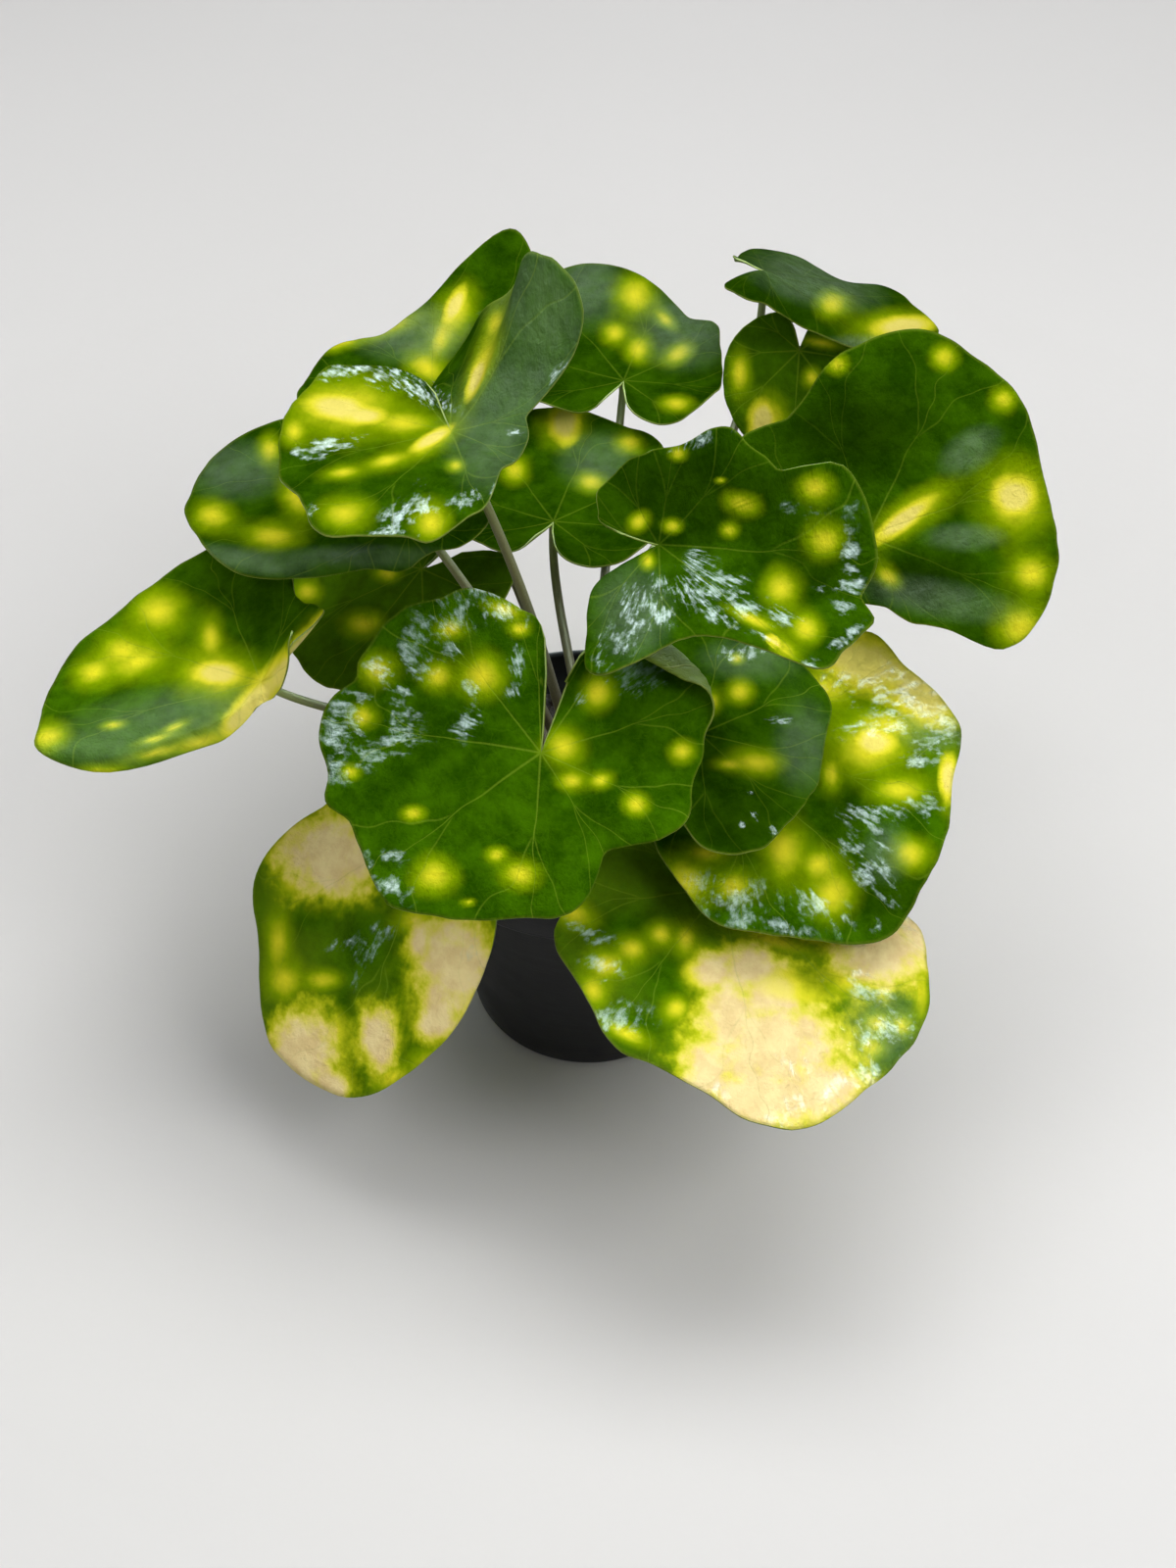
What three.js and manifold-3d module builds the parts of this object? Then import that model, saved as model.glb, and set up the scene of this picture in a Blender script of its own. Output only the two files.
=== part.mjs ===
// Firefly leopard plant in a small black nursery pot. Millimetres, +Z up.
// The underside of the pot stands on the ground at z = 0, with its axis on the origin.
import * as THREE from 'three';
import Module from 'manifold-3d';
import { mergeVertices } from 'three/addons/utils/BufferGeometryUtils.js';

const wasm = await Module();
wasm.setup();

// ---- driving sizes
const POT_HEIGHT = 95;         // ground to the top of the rim
const POT_BASE_RADIUS = 36;    // outside of the foot
const POT_SHOULDER_RADIUS = 50; // outside of the wall just under the rim band
const RIM_RADIUS = 54.5;       // outside of the rim band
const RIM_BAND = 11;           // height of the rim band
const POT_WALL = 1.4;          // moulded wall
const SOIL_TOP = 86;           // mean level of the potting mix
const SOIL_GAP = 0.3;          // clearance between mix and pot
const BLADE = 0.8;             // leaf thickness
const STALK_FOOT = 1.6;        // stalk radius at the soil
const STALK_TOP = 1.15;        // stalk radius under the blade
const STALK_GAP = 0.4;         // clearance between stalk and blade
const HOLE_RADIUS = 2.1;       // plain hole in the mix for each stalk
const HOLE_DEPTH = 14;

const material = (color, roughness) =>
  new THREE.MeshStandardMaterial({ color, roughness, metalness: 0 });
const POT_BLACK = material(0x1b1c1d, 0.6);
const MIX_BROWN = material(0x2e2219, 1.0);
const LEAF_GREEN = material(0x355a1c, 0.35);
const STALK_GREEN = material(0x6b6a34, 0.6);

const toRad = THREE.MathUtils.degToRad;

// Smooth value at an angle from [angle, value] pairs in rising order.
function along(pairs, angle) {
  const last = pairs.length - 1;
  if (angle <= pairs[0][0]) return pairs[0][1];
  if (angle >= pairs[last][0]) return pairs[last][1];
  let i = 0;
  while (angle > pairs[i + 1][0]) i += 1;
  const slope = (k) => {
    if (k <= 0 || k >= last) return 0;
    return (pairs[k + 1][1] - pairs[k - 1][1]) / (pairs[k + 1][0] - pairs[k - 1][0]);
  };
  const [a0, v0] = pairs[i];
  const [a1, v1] = pairs[i + 1];
  const w = a1 - a0;
  const t = (angle - a0) / w;
  return v0 * (1 + 2 * t) * (1 - t) ** 2 + slope(i) * w * t * (1 - t) ** 2
    + v1 * t * t * (3 - 2 * t) + slope(i + 1) * w * t * t * (t - 1);
}

// ---- leaves
// A blade is a kidney with its stalk at the bottom of a notch. Spokes fan out from that joint.
// Angle 0 is the midrib and positive angles turn to its left, seen from above.
//   joint    where the blade meets the stalk
//   heading  compass direction of the midrib, 0 = +X and 90 = +Y
//   pitch    midrib slope, positive rising; roll lifts the left half
//   notch    [right, left] half width of the notch in degrees
//   reach    [spoke angle, distance from the joint to the margin]
//   rise     [spoke angle, height of the margin over the blade's plane]
//   fold     [spoke angle, slope of the spoke out of that plane], where the blade is folded
//   cup      how late along a spoke the rise comes, 1 = straight
//   wave     [margin height of the waves, number of waves, phase in degrees]
//   curl     margin rolls: { at, wide } in degrees, turn in degrees (down where it is negative),
//            from = share of the spoke
//   bend     point that the upper stalk leans from, where it isn't the usual one
//   hole     [ring radius, compass direction] of the stalk's hole in the soil
const INNER = 5.6;
const OUTER = 12.2;
const LEAVES = [
  { name: 'front', joint: [-12, -46, 150], heading: -97, pitch: -25, roll: 0, notch: [3, 16],
    reach: [[-174, 48], [-166, 44], [-150, 48], [-141, 49], [-130, 54], [-114, 55], [-108, 53],
      [-100, 57], [-90, 58.5], [-80, 55.5], [-72, 56.5], [-65, 52], [-50, 52.5], [-38, 54.5],
      [-28, 50.5], [-12, 45], [0, 42.5], [12, 43], [20, 41], [30, 35], [39, 30.5], [48, 32.5],
      [60, 38.5], [70, 41.5], [84, 39.5], [94, 41], [102, 42.5], [108, 46.5], [114, 50],
      [120, 52.5], [128, 54], [138, 54], [144, 53], [150, 49], [162, 50]],
    rise: [[-150, 4], [-90, -3], [0, -4], [90, 0], [150, 4]], cup: 1.6, wave: [1.2, 7, 0],
    curl: [{ at: 140, wide: 48, turn: 165, from: 0.76 }], hole: [OUTER, 255] },
  { name: 'crest', joint: [-35, 13, 207], heading: -75, pitch: 5, roll: 0, notch: [4, 1],
    reach: [[-174, 34], [-162, 34], [-150, 38], [-144, 43], [-132, 42], [-118, 41], [-102, 42.5],
      [-78, 46], [-66, 46], [-56, 49.5], [-46, 54], [-38, 50], [-26, 46], [-18, 47.5], [-6, 40],
      [0, 38], [8, 31], [18, 24.5], [36, 21], [60, 20.5], [78, 19.5], [84, 21], [90, 26],
      [97, 34], [104, 39.5], [110, 40], [120, 38.5], [132, 36], [138, 39], [145, 44.5],
      [156, 46], [163, 52], [170, 57], [178, 60]],
    rise: [[-172, 2], [-150, 5], [-120, 4], [-60, 0], [170, 0]],
    fold: [[55, 0], [75, 0.12], [95, 0.42], [112, 0.72], [124, 0.88], [132, 0.88], [145, 0.4],
      [156, 0.25], [163, 0.02], [170, -0.15], [178, -0.25]],
    cup: 1.7, wave: [1.2, 6, 40], curl: [], bend: [-19, 10, 168], hole: [INNER, 234] },
  { name: 'wing', joint: [-48, 22, 174], heading: 188, pitch: -5, roll: 4, notch: [16, 16],
    reach: [[-160, 34], [-120, 44], [-80, 56], [-45, 70], [-22, 67], [-5, 58], [18, 47], [35, 31],
      [60, 23], [90, 20], [125, 22], [155, 26]],
    rise: [[-150, 2], [0, -2], [150, 2]], cup: 1.5, wave: [1.2, 7, 90],
    curl: [{ at: 80, wide: 80, turn: -45, from: 0.6 }], hole: [INNER, 162] },
  { name: 'curled_left', joint: [-88, -13, 144], heading: 195, pitch: -15, roll: 0, notch: [14, 8],
    reach: [[-162, 30], [-150, 26], [-126, 26.5], [-114, 40], [-102, 48], [-90, 54], [-60, 53.5],
      [-48, 53], [-36, 58.5], [-18, 60.5], [0, 59], [6, 59.5], [12, 56], [18, 50], [24, 36],
      [30, 26.5], [36, 21], [42, 15], [48, 11.5], [56, 10], [72, 9.6], [84, 8.5], [96, 8],
      [108, 10], [116, 15], [124, 18.5], [132, 20], [140, 20], [148, 18], [158, 14], [166, 11]],
    rise: [[-150, 4], [0, 0], [150, 0]],
    fold: [[-150, 0.1], [-60, 0.08], [-20, 0.1], [6, 0.2], [25, 0.08], [50, 0.05], [72, 0.12],
      [90, 0.2], [105, 0.3], [112, 0.45], [120, 0.65], [128, 0.85], [135, 1.05], [166, 1.2]],
    cup: 1.15, wave: [1.2, 6, 20], curl: [{ at: 66, wide: 80, turn: -58, from: 0.5 }],
    hole: [OUTER, 185] },
  { name: 'shade_left', joint: [-50, 57, 125], heading: 190, pitch: -20, roll: 0, notch: [16, 16],
    reach: [[-155, 22], [-130, 28], [-100, 42], [-45, 50], [0, 46], [50, 46], [100, 42], [155, 34]],
    rise: [[-150, 4], [0, -4], [150, 2]], cup: 1.6, wave: [1.2, 7, 0],
    curl: [], hole: [OUTER, 145] },
  { name: 'low_left', joint: [-41, -30, 105], heading: -121, pitch: -30, roll: 0, notch: [16, 16],
    reach: [[-160, 24], [-110, 28], [-77, 37], [-55, 59], [-37, 67], [-20, 80], [-5, 81], [8, 73],
      [20, 60], [42, 39], [60, 30], [110, 26], [155, 24]],
    rise: [[-150, 3], [-75, 0], [-40, -18], [0, -28], [40, -13], [75, 3], [150, 3]],
    cup: 1.7, wave: [1.5, 6, 0], curl: [], hole: [OUTER, 218] },
  { name: 'low_front', joint: [36, -50, 102], heading: -82, pitch: -10, roll: -8, notch: [16, 16],
    reach: [[-156, 32], [-132, 35], [-108, 40], [-84, 43.5], [-76, 49], [-60, 51], [-44, 56],
      [-36, 57.5], [-28, 57], [-12, 60.5], [-4, 67.5], [4, 71], [12, 70], [28, 66.5], [44, 65.5],
      [60, 60], [76, 57], [84, 50.5], [100, 46], [124, 39], [140, 35.5], [156, 34]],
    rise: [[-150, 3], [0, -3], [150, 0]], cup: 1.6, wave: [1.4, 7, 60],
    curl: [], bend: [20, -29, 107], hole: [OUTER, 300] },
  { name: 'low_right', joint: [40, -20, 124], heading: -45, pitch: -15, roll: 0, notch: [18, 18],
    reach: [[-156, 12], [-140, 13], [-124, 17], [-108, 24.5], [-84, 36.5], [-68, 43.5], [-52, 53],
      [-44, 54], [-36, 55], [-20, 60], [-4, 64.5], [12, 62], [36, 63], [46, 63.5], [60, 69],
      [68, 67.5], [80, 64.5], [92, 65], [100, 58], [116, 45.5], [132, 36.5], [148, 31],
      [156, 30]],
    rise: [[-150, 3], [0, -4], [150, 3]], cup: 1.6, wave: [1.4, 7, 0],
    curl: [], hole: [OUTER, 338] },
  { name: 'small_right', joint: [30, -25, 136], heading: -5, pitch: -10, roll: 0, notch: [24, 24],
    reach: [[-152, 22], [-136, 23.5], [-112, 29.5], [-96, 34], [-84, 40], [-64, 40.5],
      [-48, 36.5], [-24, 34], [0, 34], [16, 36.5], [32, 42], [48, 44.5], [56, 44.5], [72, 46.5],
      [88, 47.5], [104, 44], [113, 40], [120, 31], [136, 24.5], [152, 22]],
    rise: [[-150, 2], [0, -2], [70, 3], [150, 2]], cup: 1.6, wave: [1, 6, 0],
    curl: [], bend: [9, -12, 129], hole: [INNER, 306] },
  { name: 'right', joint: [18, -8, 187], heading: -5, pitch: 0, roll: 0, notch: [28, 8],
    reach: [[-150, 24], [-138, 24], [-126, 28], [-120, 33], [-114, 38], [-105, 39.5], [-96, 36.5],
      [-78, 30], [-66, 30], [-57, 34], [-48, 43.5], [-42, 55.5], [-30, 55.5], [-24, 56.5],
      [-18, 58], [-12, 53.5], [0, 56], [6, 54], [12, 50.5], [18, 45.5], [21.5, 33.5], [25, 31], [31, 30],
      [38, 28.5], [50, 27], [60, 24], [72, 21], [90, 19.5], [108, 17.5], [120, 18.5], [150, 19],
      [162, 19], [170, 22]],
    rise: [[-130, 0], [150, 0]],
    fold: [[-150, -0.4], [-110, -0.3], [-80, -0.2], [-45, -0.12], [-15, -0.08], [2, 0.02],
      [14, 0.28], [28, 0.6], [60, 0.85], [95, 0.85], [125, 0.7], [150, 0.45], [172, 0.2]],
    cup: 1.25, wave: [1.2, 7, 30], curl: [], bend: [2, 4, 158], hole: [INNER, 18] },
  { name: 'far_right', joint: [77, 25, 163], heading: 20, pitch: 10, roll: 38, notch: [16, 16],
    reach: [[-155, 18], [-100, 20], [-86, 26], [-70, 34], [-60, 49], [-36, 54], [0, 55], [45, 63],
      [75, 52], [100, 40], [125, 44], [150, 40]],
    rise: [[-150, 2], [0, -3], [150, 2]], cup: 1.6, wave: [1.4, 7, 0],
    curl: [], hole: [OUTER, 20] },
  { name: 'folded_back', joint: [53, 122, 187], heading: 0, pitch: -18, roll: -22, notch: [40, 36],
    reach: [[-140, 26], [-124, 22], [-108, 25], [-92, 20.5], [-76, 19], [-60, 26], [-44, 33],
      [-36, 36], [-28, 42], [-12, 52], [-4, 58], [6, 50], [14, 49], [30, 46], [50, 42], [68, 40],
      [84, 36], [92, 29], [108, 17], [130, 13], [144, 16]],
    rise: [[-150, 0], [150, 0]],
    fold: [[-150, -0.2], [-90, -0.35], [-40, -0.35], [0, 0], [40, 0.05], [90, 0.02],
      [130, -0.05]],
    cup: 2, wave: [1.2, 6, 0], curl: [], bend: [56, 118, 126], hole: [OUTER, 58] },
  { name: 'tucked_back', joint: [64, 108, 168], heading: -95, pitch: -50, roll: 0, notch: [20, 20],
    reach: [[-150, 14], [-90, 21], [-45, 28], [0, 33], [45, 27], [90, 20], [150, 14]],
    rise: [[-150, 2], [0, -2], [150, 2]], cup: 1.6, wave: [1.2, 6, 0],
    curl: [], bend: [84, 138, 122], hole: [OUTER, 39] },
  { name: 'back', joint: [11, 107, 158], heading: 75, pitch: 5, roll: 0, notch: [16, 16],
    reach: [[-155, 24], [-110, 28], [-75, 30], [-50, 33], [-32, 39], [-18, 38], [0, 47], [35, 60],
      [70, 50], [110, 36], [155, 26]],
    rise: [[-150, 3], [0, 0], [150, 3]], cup: 1.6, wave: [1.6, 6, 0],
    curl: [], hole: [OUTER, 85] },
  { name: 'back_left', joint: [-47, 98, 164], heading: 135, pitch: 0, roll: 0, notch: [16, 16],
    reach: [[-155, 32], [-110, 40], [-80, 54], [-64, 68], [-54, 50], [-35, 34], [0, 32], [40, 38],
      [80, 42], [120, 40], [155, 30]],
    rise: [[-150, 3], [-90, 6], [-64, 14], [-40, 4], [0, 0], [150, 3]], cup: 1.6, wave: [1.4, 7, 0],
    curl: [], hole: [OUTER, 115] },
  { name: 'centre_back', joint: [-10, 52, 147], heading: 75, pitch: 4, roll: 0, notch: [16, 16],
    reach: [[-155, 24], [-110, 30], [-60, 38], [-20, 48], [10, 50], [40, 46], [80, 34], [120, 28],
      [155, 24]],
    rise: [[-150, 4], [0, 0], [150, 4]], cup: 1.6, wave: [1.2, 6, 0],
    curl: [], hole: [INNER, 90] },
];

const SPOKES = 32;
const RINGS = [0.3, 0.56, 0.76, 0.86, 1];
const LOBE_ROUND = 26; // degrees over which the margin rounds off into the notch
const NOTCH_START = 0.42; // share of the reach at the very edge of the notch

function leafAxes(leaf) {
  const h = toRad(leaf.heading);
  const p = toRad(leaf.pitch);
  const r = toRad(leaf.roll);
  const rib = new THREE.Vector3(Math.cos(h) * Math.cos(p), Math.sin(h) * Math.cos(p), Math.sin(p));
  const flatSide = new THREE.Vector3(-Math.sin(h), Math.cos(h), 0);
  const flatUp = new THREE.Vector3().crossVectors(rib, flatSide);
  const side = flatSide.clone().multiplyScalar(Math.cos(r)).addScaledVector(flatUp, Math.sin(r));
  const up = flatUp.clone().multiplyScalar(Math.cos(r)).addScaledVector(flatSide, -Math.sin(r));
  return { rib, side, up };
}

function marginReach(leaf, angle) {
  const end = angle > 0 ? 180 - leaf.notch[1] : 180 - leaf.notch[0];
  const late = THREE.MathUtils.clamp((Math.abs(angle) - end + LOBE_ROUND) / LOBE_ROUND, 0, 1);
  const round = NOTCH_START + (1 - NOTCH_START) * Math.sqrt(1 - late * late);
  return along(leaf.reach, angle) * round;
}

// Point of the upper face on one spoke at a share of its length.
function bladePoint(leaf, axes, angle, share) {
  const edge = marginReach(leaf, angle);
  const [swell, count, phase] = leaf.wave;
  let out = edge * share;
  const slope = leaf.fold ? along(leaf.fold, angle) : 0;
  let lift = (along(leaf.rise, angle) + edge * slope) * share ** leaf.cup
    + swell * Math.sin(toRad(count * angle + phase)) * share * share;
  leaf.curl.forEach((roll) => {
    const off = (angle - roll.at) / roll.wide;
    if (Math.abs(off) >= 0.98) return;
    const strength = Math.cos(off * Math.PI / 2) ** 2;
    const start = 1 - (1 - roll.from) * strength;
    if (share <= start) return;
    const turn = toRad(roll.turn) * Math.min(1, 1.6 * strength);
    const bent = (1 - start) * 0.4;
    const bend = turn / (bent * edge);
    const run = Math.min(share - start, bent) * edge;
    const rest = Math.max(0, share - start - bent) * edge;
    out += Math.sin(bend * run) / bend + Math.cos(turn) * rest - (share - start) * edge;
    lift += (1 - Math.cos(bend * run)) / bend + Math.sin(turn) * rest;
  });
  const a = toRad(angle);
  return new THREE.Vector3(...leaf.joint)
    .addScaledVector(axes.rib, out * Math.cos(a))
    .addScaledVector(axes.side, out * Math.sin(a))
    .addScaledVector(axes.up, lift);
}

// Blade as one closed sheet: upper face, lower face one thickness below, and the edge between.
function bladeGeometry(leaf) {
  const axes = leafAxes(leaf);
  const from = -(180 - leaf.notch[0]);
  const to = 180 - leaf.notch[1];
  const nudge = 0.5;
  const upper = [new THREE.Vector3(...leaf.joint)];
  const lower = [upper[0].clone().addScaledVector(axes.up, -BLADE)];
  for (let i = 0; i <= SPOKES; i += 1) {
    const angle = from + (to - from) * i / SPOKES;
    RINGS.forEach((share) => {
      const here = bladePoint(leaf, axes, angle, share);
      const inward = bladePoint(leaf, axes, angle, share - 0.02).sub(here);
      const turned = bladePoint(leaf, axes, angle + nudge, share)
        .sub(bladePoint(leaf, axes, angle - nudge, share));
      const normal = new THREE.Vector3().crossVectors(turned, inward).normalize();
      upper.push(here);
      lower.push(here.clone().addScaledVector(normal, -BLADE));
    });
  }
  const rings = RINGS.length;
  const under = upper.length;
  const at = (i, j) => (j === 0 ? 0 : 1 + i * rings + j - 1);
  const faces = [];
  const both = (a, b, c) => faces.push(a, b, c, under + a, under + c, under + b);
  const wall = (a, b) => faces.push(a, under + a, under + b, a, under + b, b);
  for (let i = 0; i < SPOKES; i += 1) {
    both(0, at(i, 1), at(i + 1, 1));
    for (let j = 1; j < rings; j += 1) {
      both(at(i, j), at(i, j + 1), at(i + 1, j + 1));
      both(at(i, j), at(i + 1, j + 1), at(i + 1, j));
    }
    wall(at(i, rings), at(i + 1, rings));
  }
  for (let j = 0; j < rings; j += 1) {
    wall(at(0, j), at(0, j + 1));
    wall(at(SPOKES, j + 1), at(SPOKES, j));
  }
  const geometry = new THREE.BufferGeometry();
  const points = [...upper, ...lower].flatMap((v) => [v.x, v.y, v.z]);
  geometry.setAttribute('position', new THREE.Float32BufferAttribute(points, 3));
  geometry.setIndex(faces);
  geometry.computeVertexNormals();
  return geometry;
}

// ---- stalks
const STALK_SIDES = 8;
const STALK_STEPS = 9;

// Closed round bar along points, with a radius at each point.
function barGeometry(points, radii) {
  const positions = [];
  const faces = [];
  let across = new THREE.Vector3(1, 0, 0);
  points.forEach((point, i) => {
    const ahead = points[Math.min(i + 1, points.length - 1)];
    const behind = points[Math.max(i - 1, 0)];
    const direction = ahead.clone().sub(behind).normalize();
    across = across.clone().addScaledVector(direction, -across.dot(direction)).normalize();
    const other = new THREE.Vector3().crossVectors(direction, across);
    for (let k = 0; k < STALK_SIDES; k += 1) {
      const a = 2 * Math.PI * k / STALK_SIDES;
      const p = point.clone().addScaledVector(across, radii[i] * Math.cos(a))
        .addScaledVector(other, radii[i] * Math.sin(a));
      positions.push(p.x, p.y, p.z);
    }
  });
  const ring = (i, k) => i * STALK_SIDES + k % STALK_SIDES;
  for (let i = 0; i < points.length - 1; i += 1) {
    for (let k = 0; k < STALK_SIDES; k += 1) {
      faces.push(ring(i, k), ring(i, k + 1), ring(i + 1, k + 1));
      faces.push(ring(i, k), ring(i + 1, k + 1), ring(i + 1, k));
    }
  }
  const end = points.length - 1;
  for (let k = 1; k < STALK_SIDES - 1; k += 1) {
    faces.push(ring(0, 0), ring(0, k + 1), ring(0, k));
    faces.push(ring(end, 0), ring(end, k), ring(end, k + 1));
  }
  const geometry = new THREE.BufferGeometry();
  geometry.setAttribute('position', new THREE.Float32BufferAttribute(positions, 3));
  geometry.setIndex(faces);
  geometry.computeVertexNormals();
  return geometry;
}

const holeCentre = (leaf) => {
  const a = toRad(leaf.hole[1]);
  return new THREE.Vector3(leaf.hole[0] * Math.cos(a), leaf.hole[0] * Math.sin(a), SOIL_TOP);
};

// Stalk rises out of its hole, leans over and comes up under the joint.
function stalkGeometry(leaf) {
  const { rib, up } = leafAxes(leaf);
  const joint = new THREE.Vector3(...leaf.joint);
  const foot = holeCentre(leaf);
  const start = foot.clone().setZ(SOIL_TOP + 4);
  const span = joint.distanceTo(start);
  const lean = joint.clone().sub(start).setZ(0);
  const below = up.clone().addScaledVector(rib, 0.45).normalize();
  const second = leaf.bend ? new THREE.Vector3(...leaf.bend)
    : joint.clone().addScaledVector(below, -span * 0.3);
  const slant = joint.clone().sub(second).normalize().cross(up).length();
  const top = joint.clone().addScaledVector(up, -(BLADE + STALK_GAP + STALK_TOP * slant));
  const first = start.clone().add(new THREE.Vector3(0, 0, span * 0.3)).addScaledVector(lean, 0.1);
  const curve = new THREE.CubicBezierCurve3(start, first, second, top);
  const points = [foot.clone().setZ(SOIL_TOP - HOLE_DEPTH + 3), ...curve.getPoints(STALK_STEPS)];
  const radii = points.map((p, i) =>
    THREE.MathUtils.lerp(STALK_FOOT, STALK_TOP, i / (points.length - 1)));
  return barGeometry(points, radii);
}

// ---- pot: one turned wall with a rim band, and drain holes through the floor
const POT_SIDES = 48;
const FLOOR = 1.6;
const FOOT_ROUND = 4;
const DRAIN_RADIUS = 4;
const DRAIN_RING = 24;

const wallRadius = (z) => {
  const share = z / (POT_HEIGHT - RIM_BAND);
  return THREE.MathUtils.lerp(POT_BASE_RADIUS, POT_SHOULDER_RADIUS, share);
};

function turned(outline, sides) {
  const geometry = new THREE.LatheGeometry(outline.map(([r, z]) => new THREE.Vector2(r, z)), sides);
  geometry.rotateX(Math.PI / 2);
  return geometry;
}

function toManifold(geometry) {
  const clean = geometry.clone();
  clean.deleteAttribute('normal');
  clean.deleteAttribute('uv');
  const merged = mergeVertices(clean, 1e-4);
  return new wasm.Manifold(new wasm.Mesh({
    numProp: 3,
    vertProperties: new Float32Array(merged.attributes.position.array),
    triVerts: new Uint32Array(merged.index.array),
  }));
}

function fromManifold(solid) {
  const mesh = solid.getMesh();
  const geometry = new THREE.BufferGeometry();
  geometry.setAttribute('position', new THREE.BufferAttribute(mesh.vertProperties, 3));
  geometry.setIndex(new THREE.BufferAttribute(mesh.triVerts, 1));
  geometry.computeVertexNormals();
  return geometry;
}

function potGeometry() {
  const band = POT_HEIGHT - RIM_BAND;
  const shell = turned([
    [0, 0], [POT_BASE_RADIUS - FOOT_ROUND, 0], [POT_BASE_RADIUS - 1.2, 1.2], [wallRadius(4), 4],
    [POT_SHOULDER_RADIUS, band], [RIM_RADIUS - 0.6, band], [RIM_RADIUS, band + 0.8],
    [RIM_RADIUS, POT_HEIGHT - 0.8], [RIM_RADIUS - 0.8, POT_HEIGHT],
    [RIM_RADIUS - 1.8, POT_HEIGHT], [RIM_RADIUS - 2.4, POT_HEIGHT - 1],
    [RIM_RADIUS - 2.4, band + POT_WALL], [POT_SHOULDER_RADIUS - POT_WALL, band],
    [wallRadius(4) - POT_WALL, 4], [POT_BASE_RADIUS - FOOT_ROUND, FLOOR], [0, FLOOR],
  ], POT_SIDES);
  let pot = toManifold(shell);
  for (let i = 0; i < 5; i += 1) {
    const a = toRad(36 + 72 * i);
    const drain = wasm.Manifold.cylinder(FLOOR + 2, DRAIN_RADIUS, DRAIN_RADIUS, 16)
      .translate([DRAIN_RING * Math.cos(a), DRAIN_RING * Math.sin(a), -1]);
    pot = pot.subtract(drain);
  }
  return fromManifold(pot);
}

// ---- soil: fills the pot, its top gently heaped, with one plain hole for each stalk
const SOIL_SIDES = 40;
const SOIL_RINGS = 6;

function soilGeometry() {
  const topRadius = POT_SHOULDER_RADIUS - POT_WALL - SOIL_GAP - 0.4;
  const points = [];
  const faces = [];
  const height = (x, y) => SOIL_TOP + 1.2 * Math.exp(-(x * x + y * y) / 500)
    + 0.8 * Math.sin(x * 0.21 + 1.3) * Math.cos(y * 0.24)
    + 0.5 * Math.sin(x * 0.47 - y * 0.39);
  const fit = (z) => wallRadius(z) - POT_WALL - SOIL_GAP - 0.4;
  points.push([0, 0, height(0, 0)]);
  for (let j = 1; j <= SOIL_RINGS; j += 1) {
    for (let i = 0; i < SOIL_SIDES; i += 1) {
      const a = 2 * Math.PI * i / SOIL_SIDES;
      const r = topRadius * j / SOIL_RINGS;
      const x = r * Math.cos(a);
      const y = r * Math.sin(a);
      points.push([x, y, j === SOIL_RINGS ? SOIL_TOP - 2.2 : height(x, y)]);
    }
  }
  [[fit(5), 5], [POT_BASE_RADIUS - FOOT_ROUND - 1, FLOOR + SOIL_GAP]].forEach(([r, z]) => {
    for (let i = 0; i < SOIL_SIDES; i += 1) {
      const a = 2 * Math.PI * i / SOIL_SIDES;
      points.push([r * Math.cos(a), r * Math.sin(a), z]);
    }
  });
  points.push([0, 0, FLOOR + SOIL_GAP]);
  const bands = SOIL_RINGS + 2;
  const at = (j, i) => 1 + (j - 1) * SOIL_SIDES + i % SOIL_SIDES;
  for (let i = 0; i < SOIL_SIDES; i += 1) {
    faces.push(0, at(1, i), at(1, i + 1));
    for (let j = 1; j < bands; j += 1) {
      faces.push(at(j, i), at(j + 1, i), at(j + 1, i + 1));
      faces.push(at(j, i), at(j + 1, i + 1), at(j, i + 1));
    }
    faces.push(points.length - 1, at(bands, i + 1), at(bands, i));
  }
  const heap = new THREE.BufferGeometry();
  heap.setAttribute('position', new THREE.Float32BufferAttribute(points.flat(), 3));
  heap.setIndex(faces);
  let soil = toManifold(heap);
  LEAVES.forEach((leaf) => {
    const c = holeCentre(leaf);
    const hole = wasm.Manifold.cylinder(HOLE_DEPTH + 10, HOLE_RADIUS, HOLE_RADIUS, 12)
      .translate([c.x, c.y, SOIL_TOP - HOLE_DEPTH]);
    soil = soil.subtract(hole);
  });
  return fromManifold(soil);
}

// ---- assembly
const plant = new THREE.Group();
plant.name = 'potted_leopard_plant';
function add(name, geometry, look) {
  const mesh = new THREE.Mesh(geometry, look);
  mesh.name = name;
  plant.add(mesh);
}
add('pot', potGeometry(), POT_BLACK);
add('soil', soilGeometry(), MIX_BROWN);
LEAVES.forEach((leaf) => {
  add(`${leaf.name}_blade`, bladeGeometry(leaf), LEAF_GREEN);
  add(`${leaf.name}_stalk`, stalkGeometry(leaf), STALK_GREEN);
});

export default plant;
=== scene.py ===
import math
import random

import bmesh
import bpy
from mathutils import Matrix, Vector, noise
from mathutils.bvhtree import BVHTree


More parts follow.
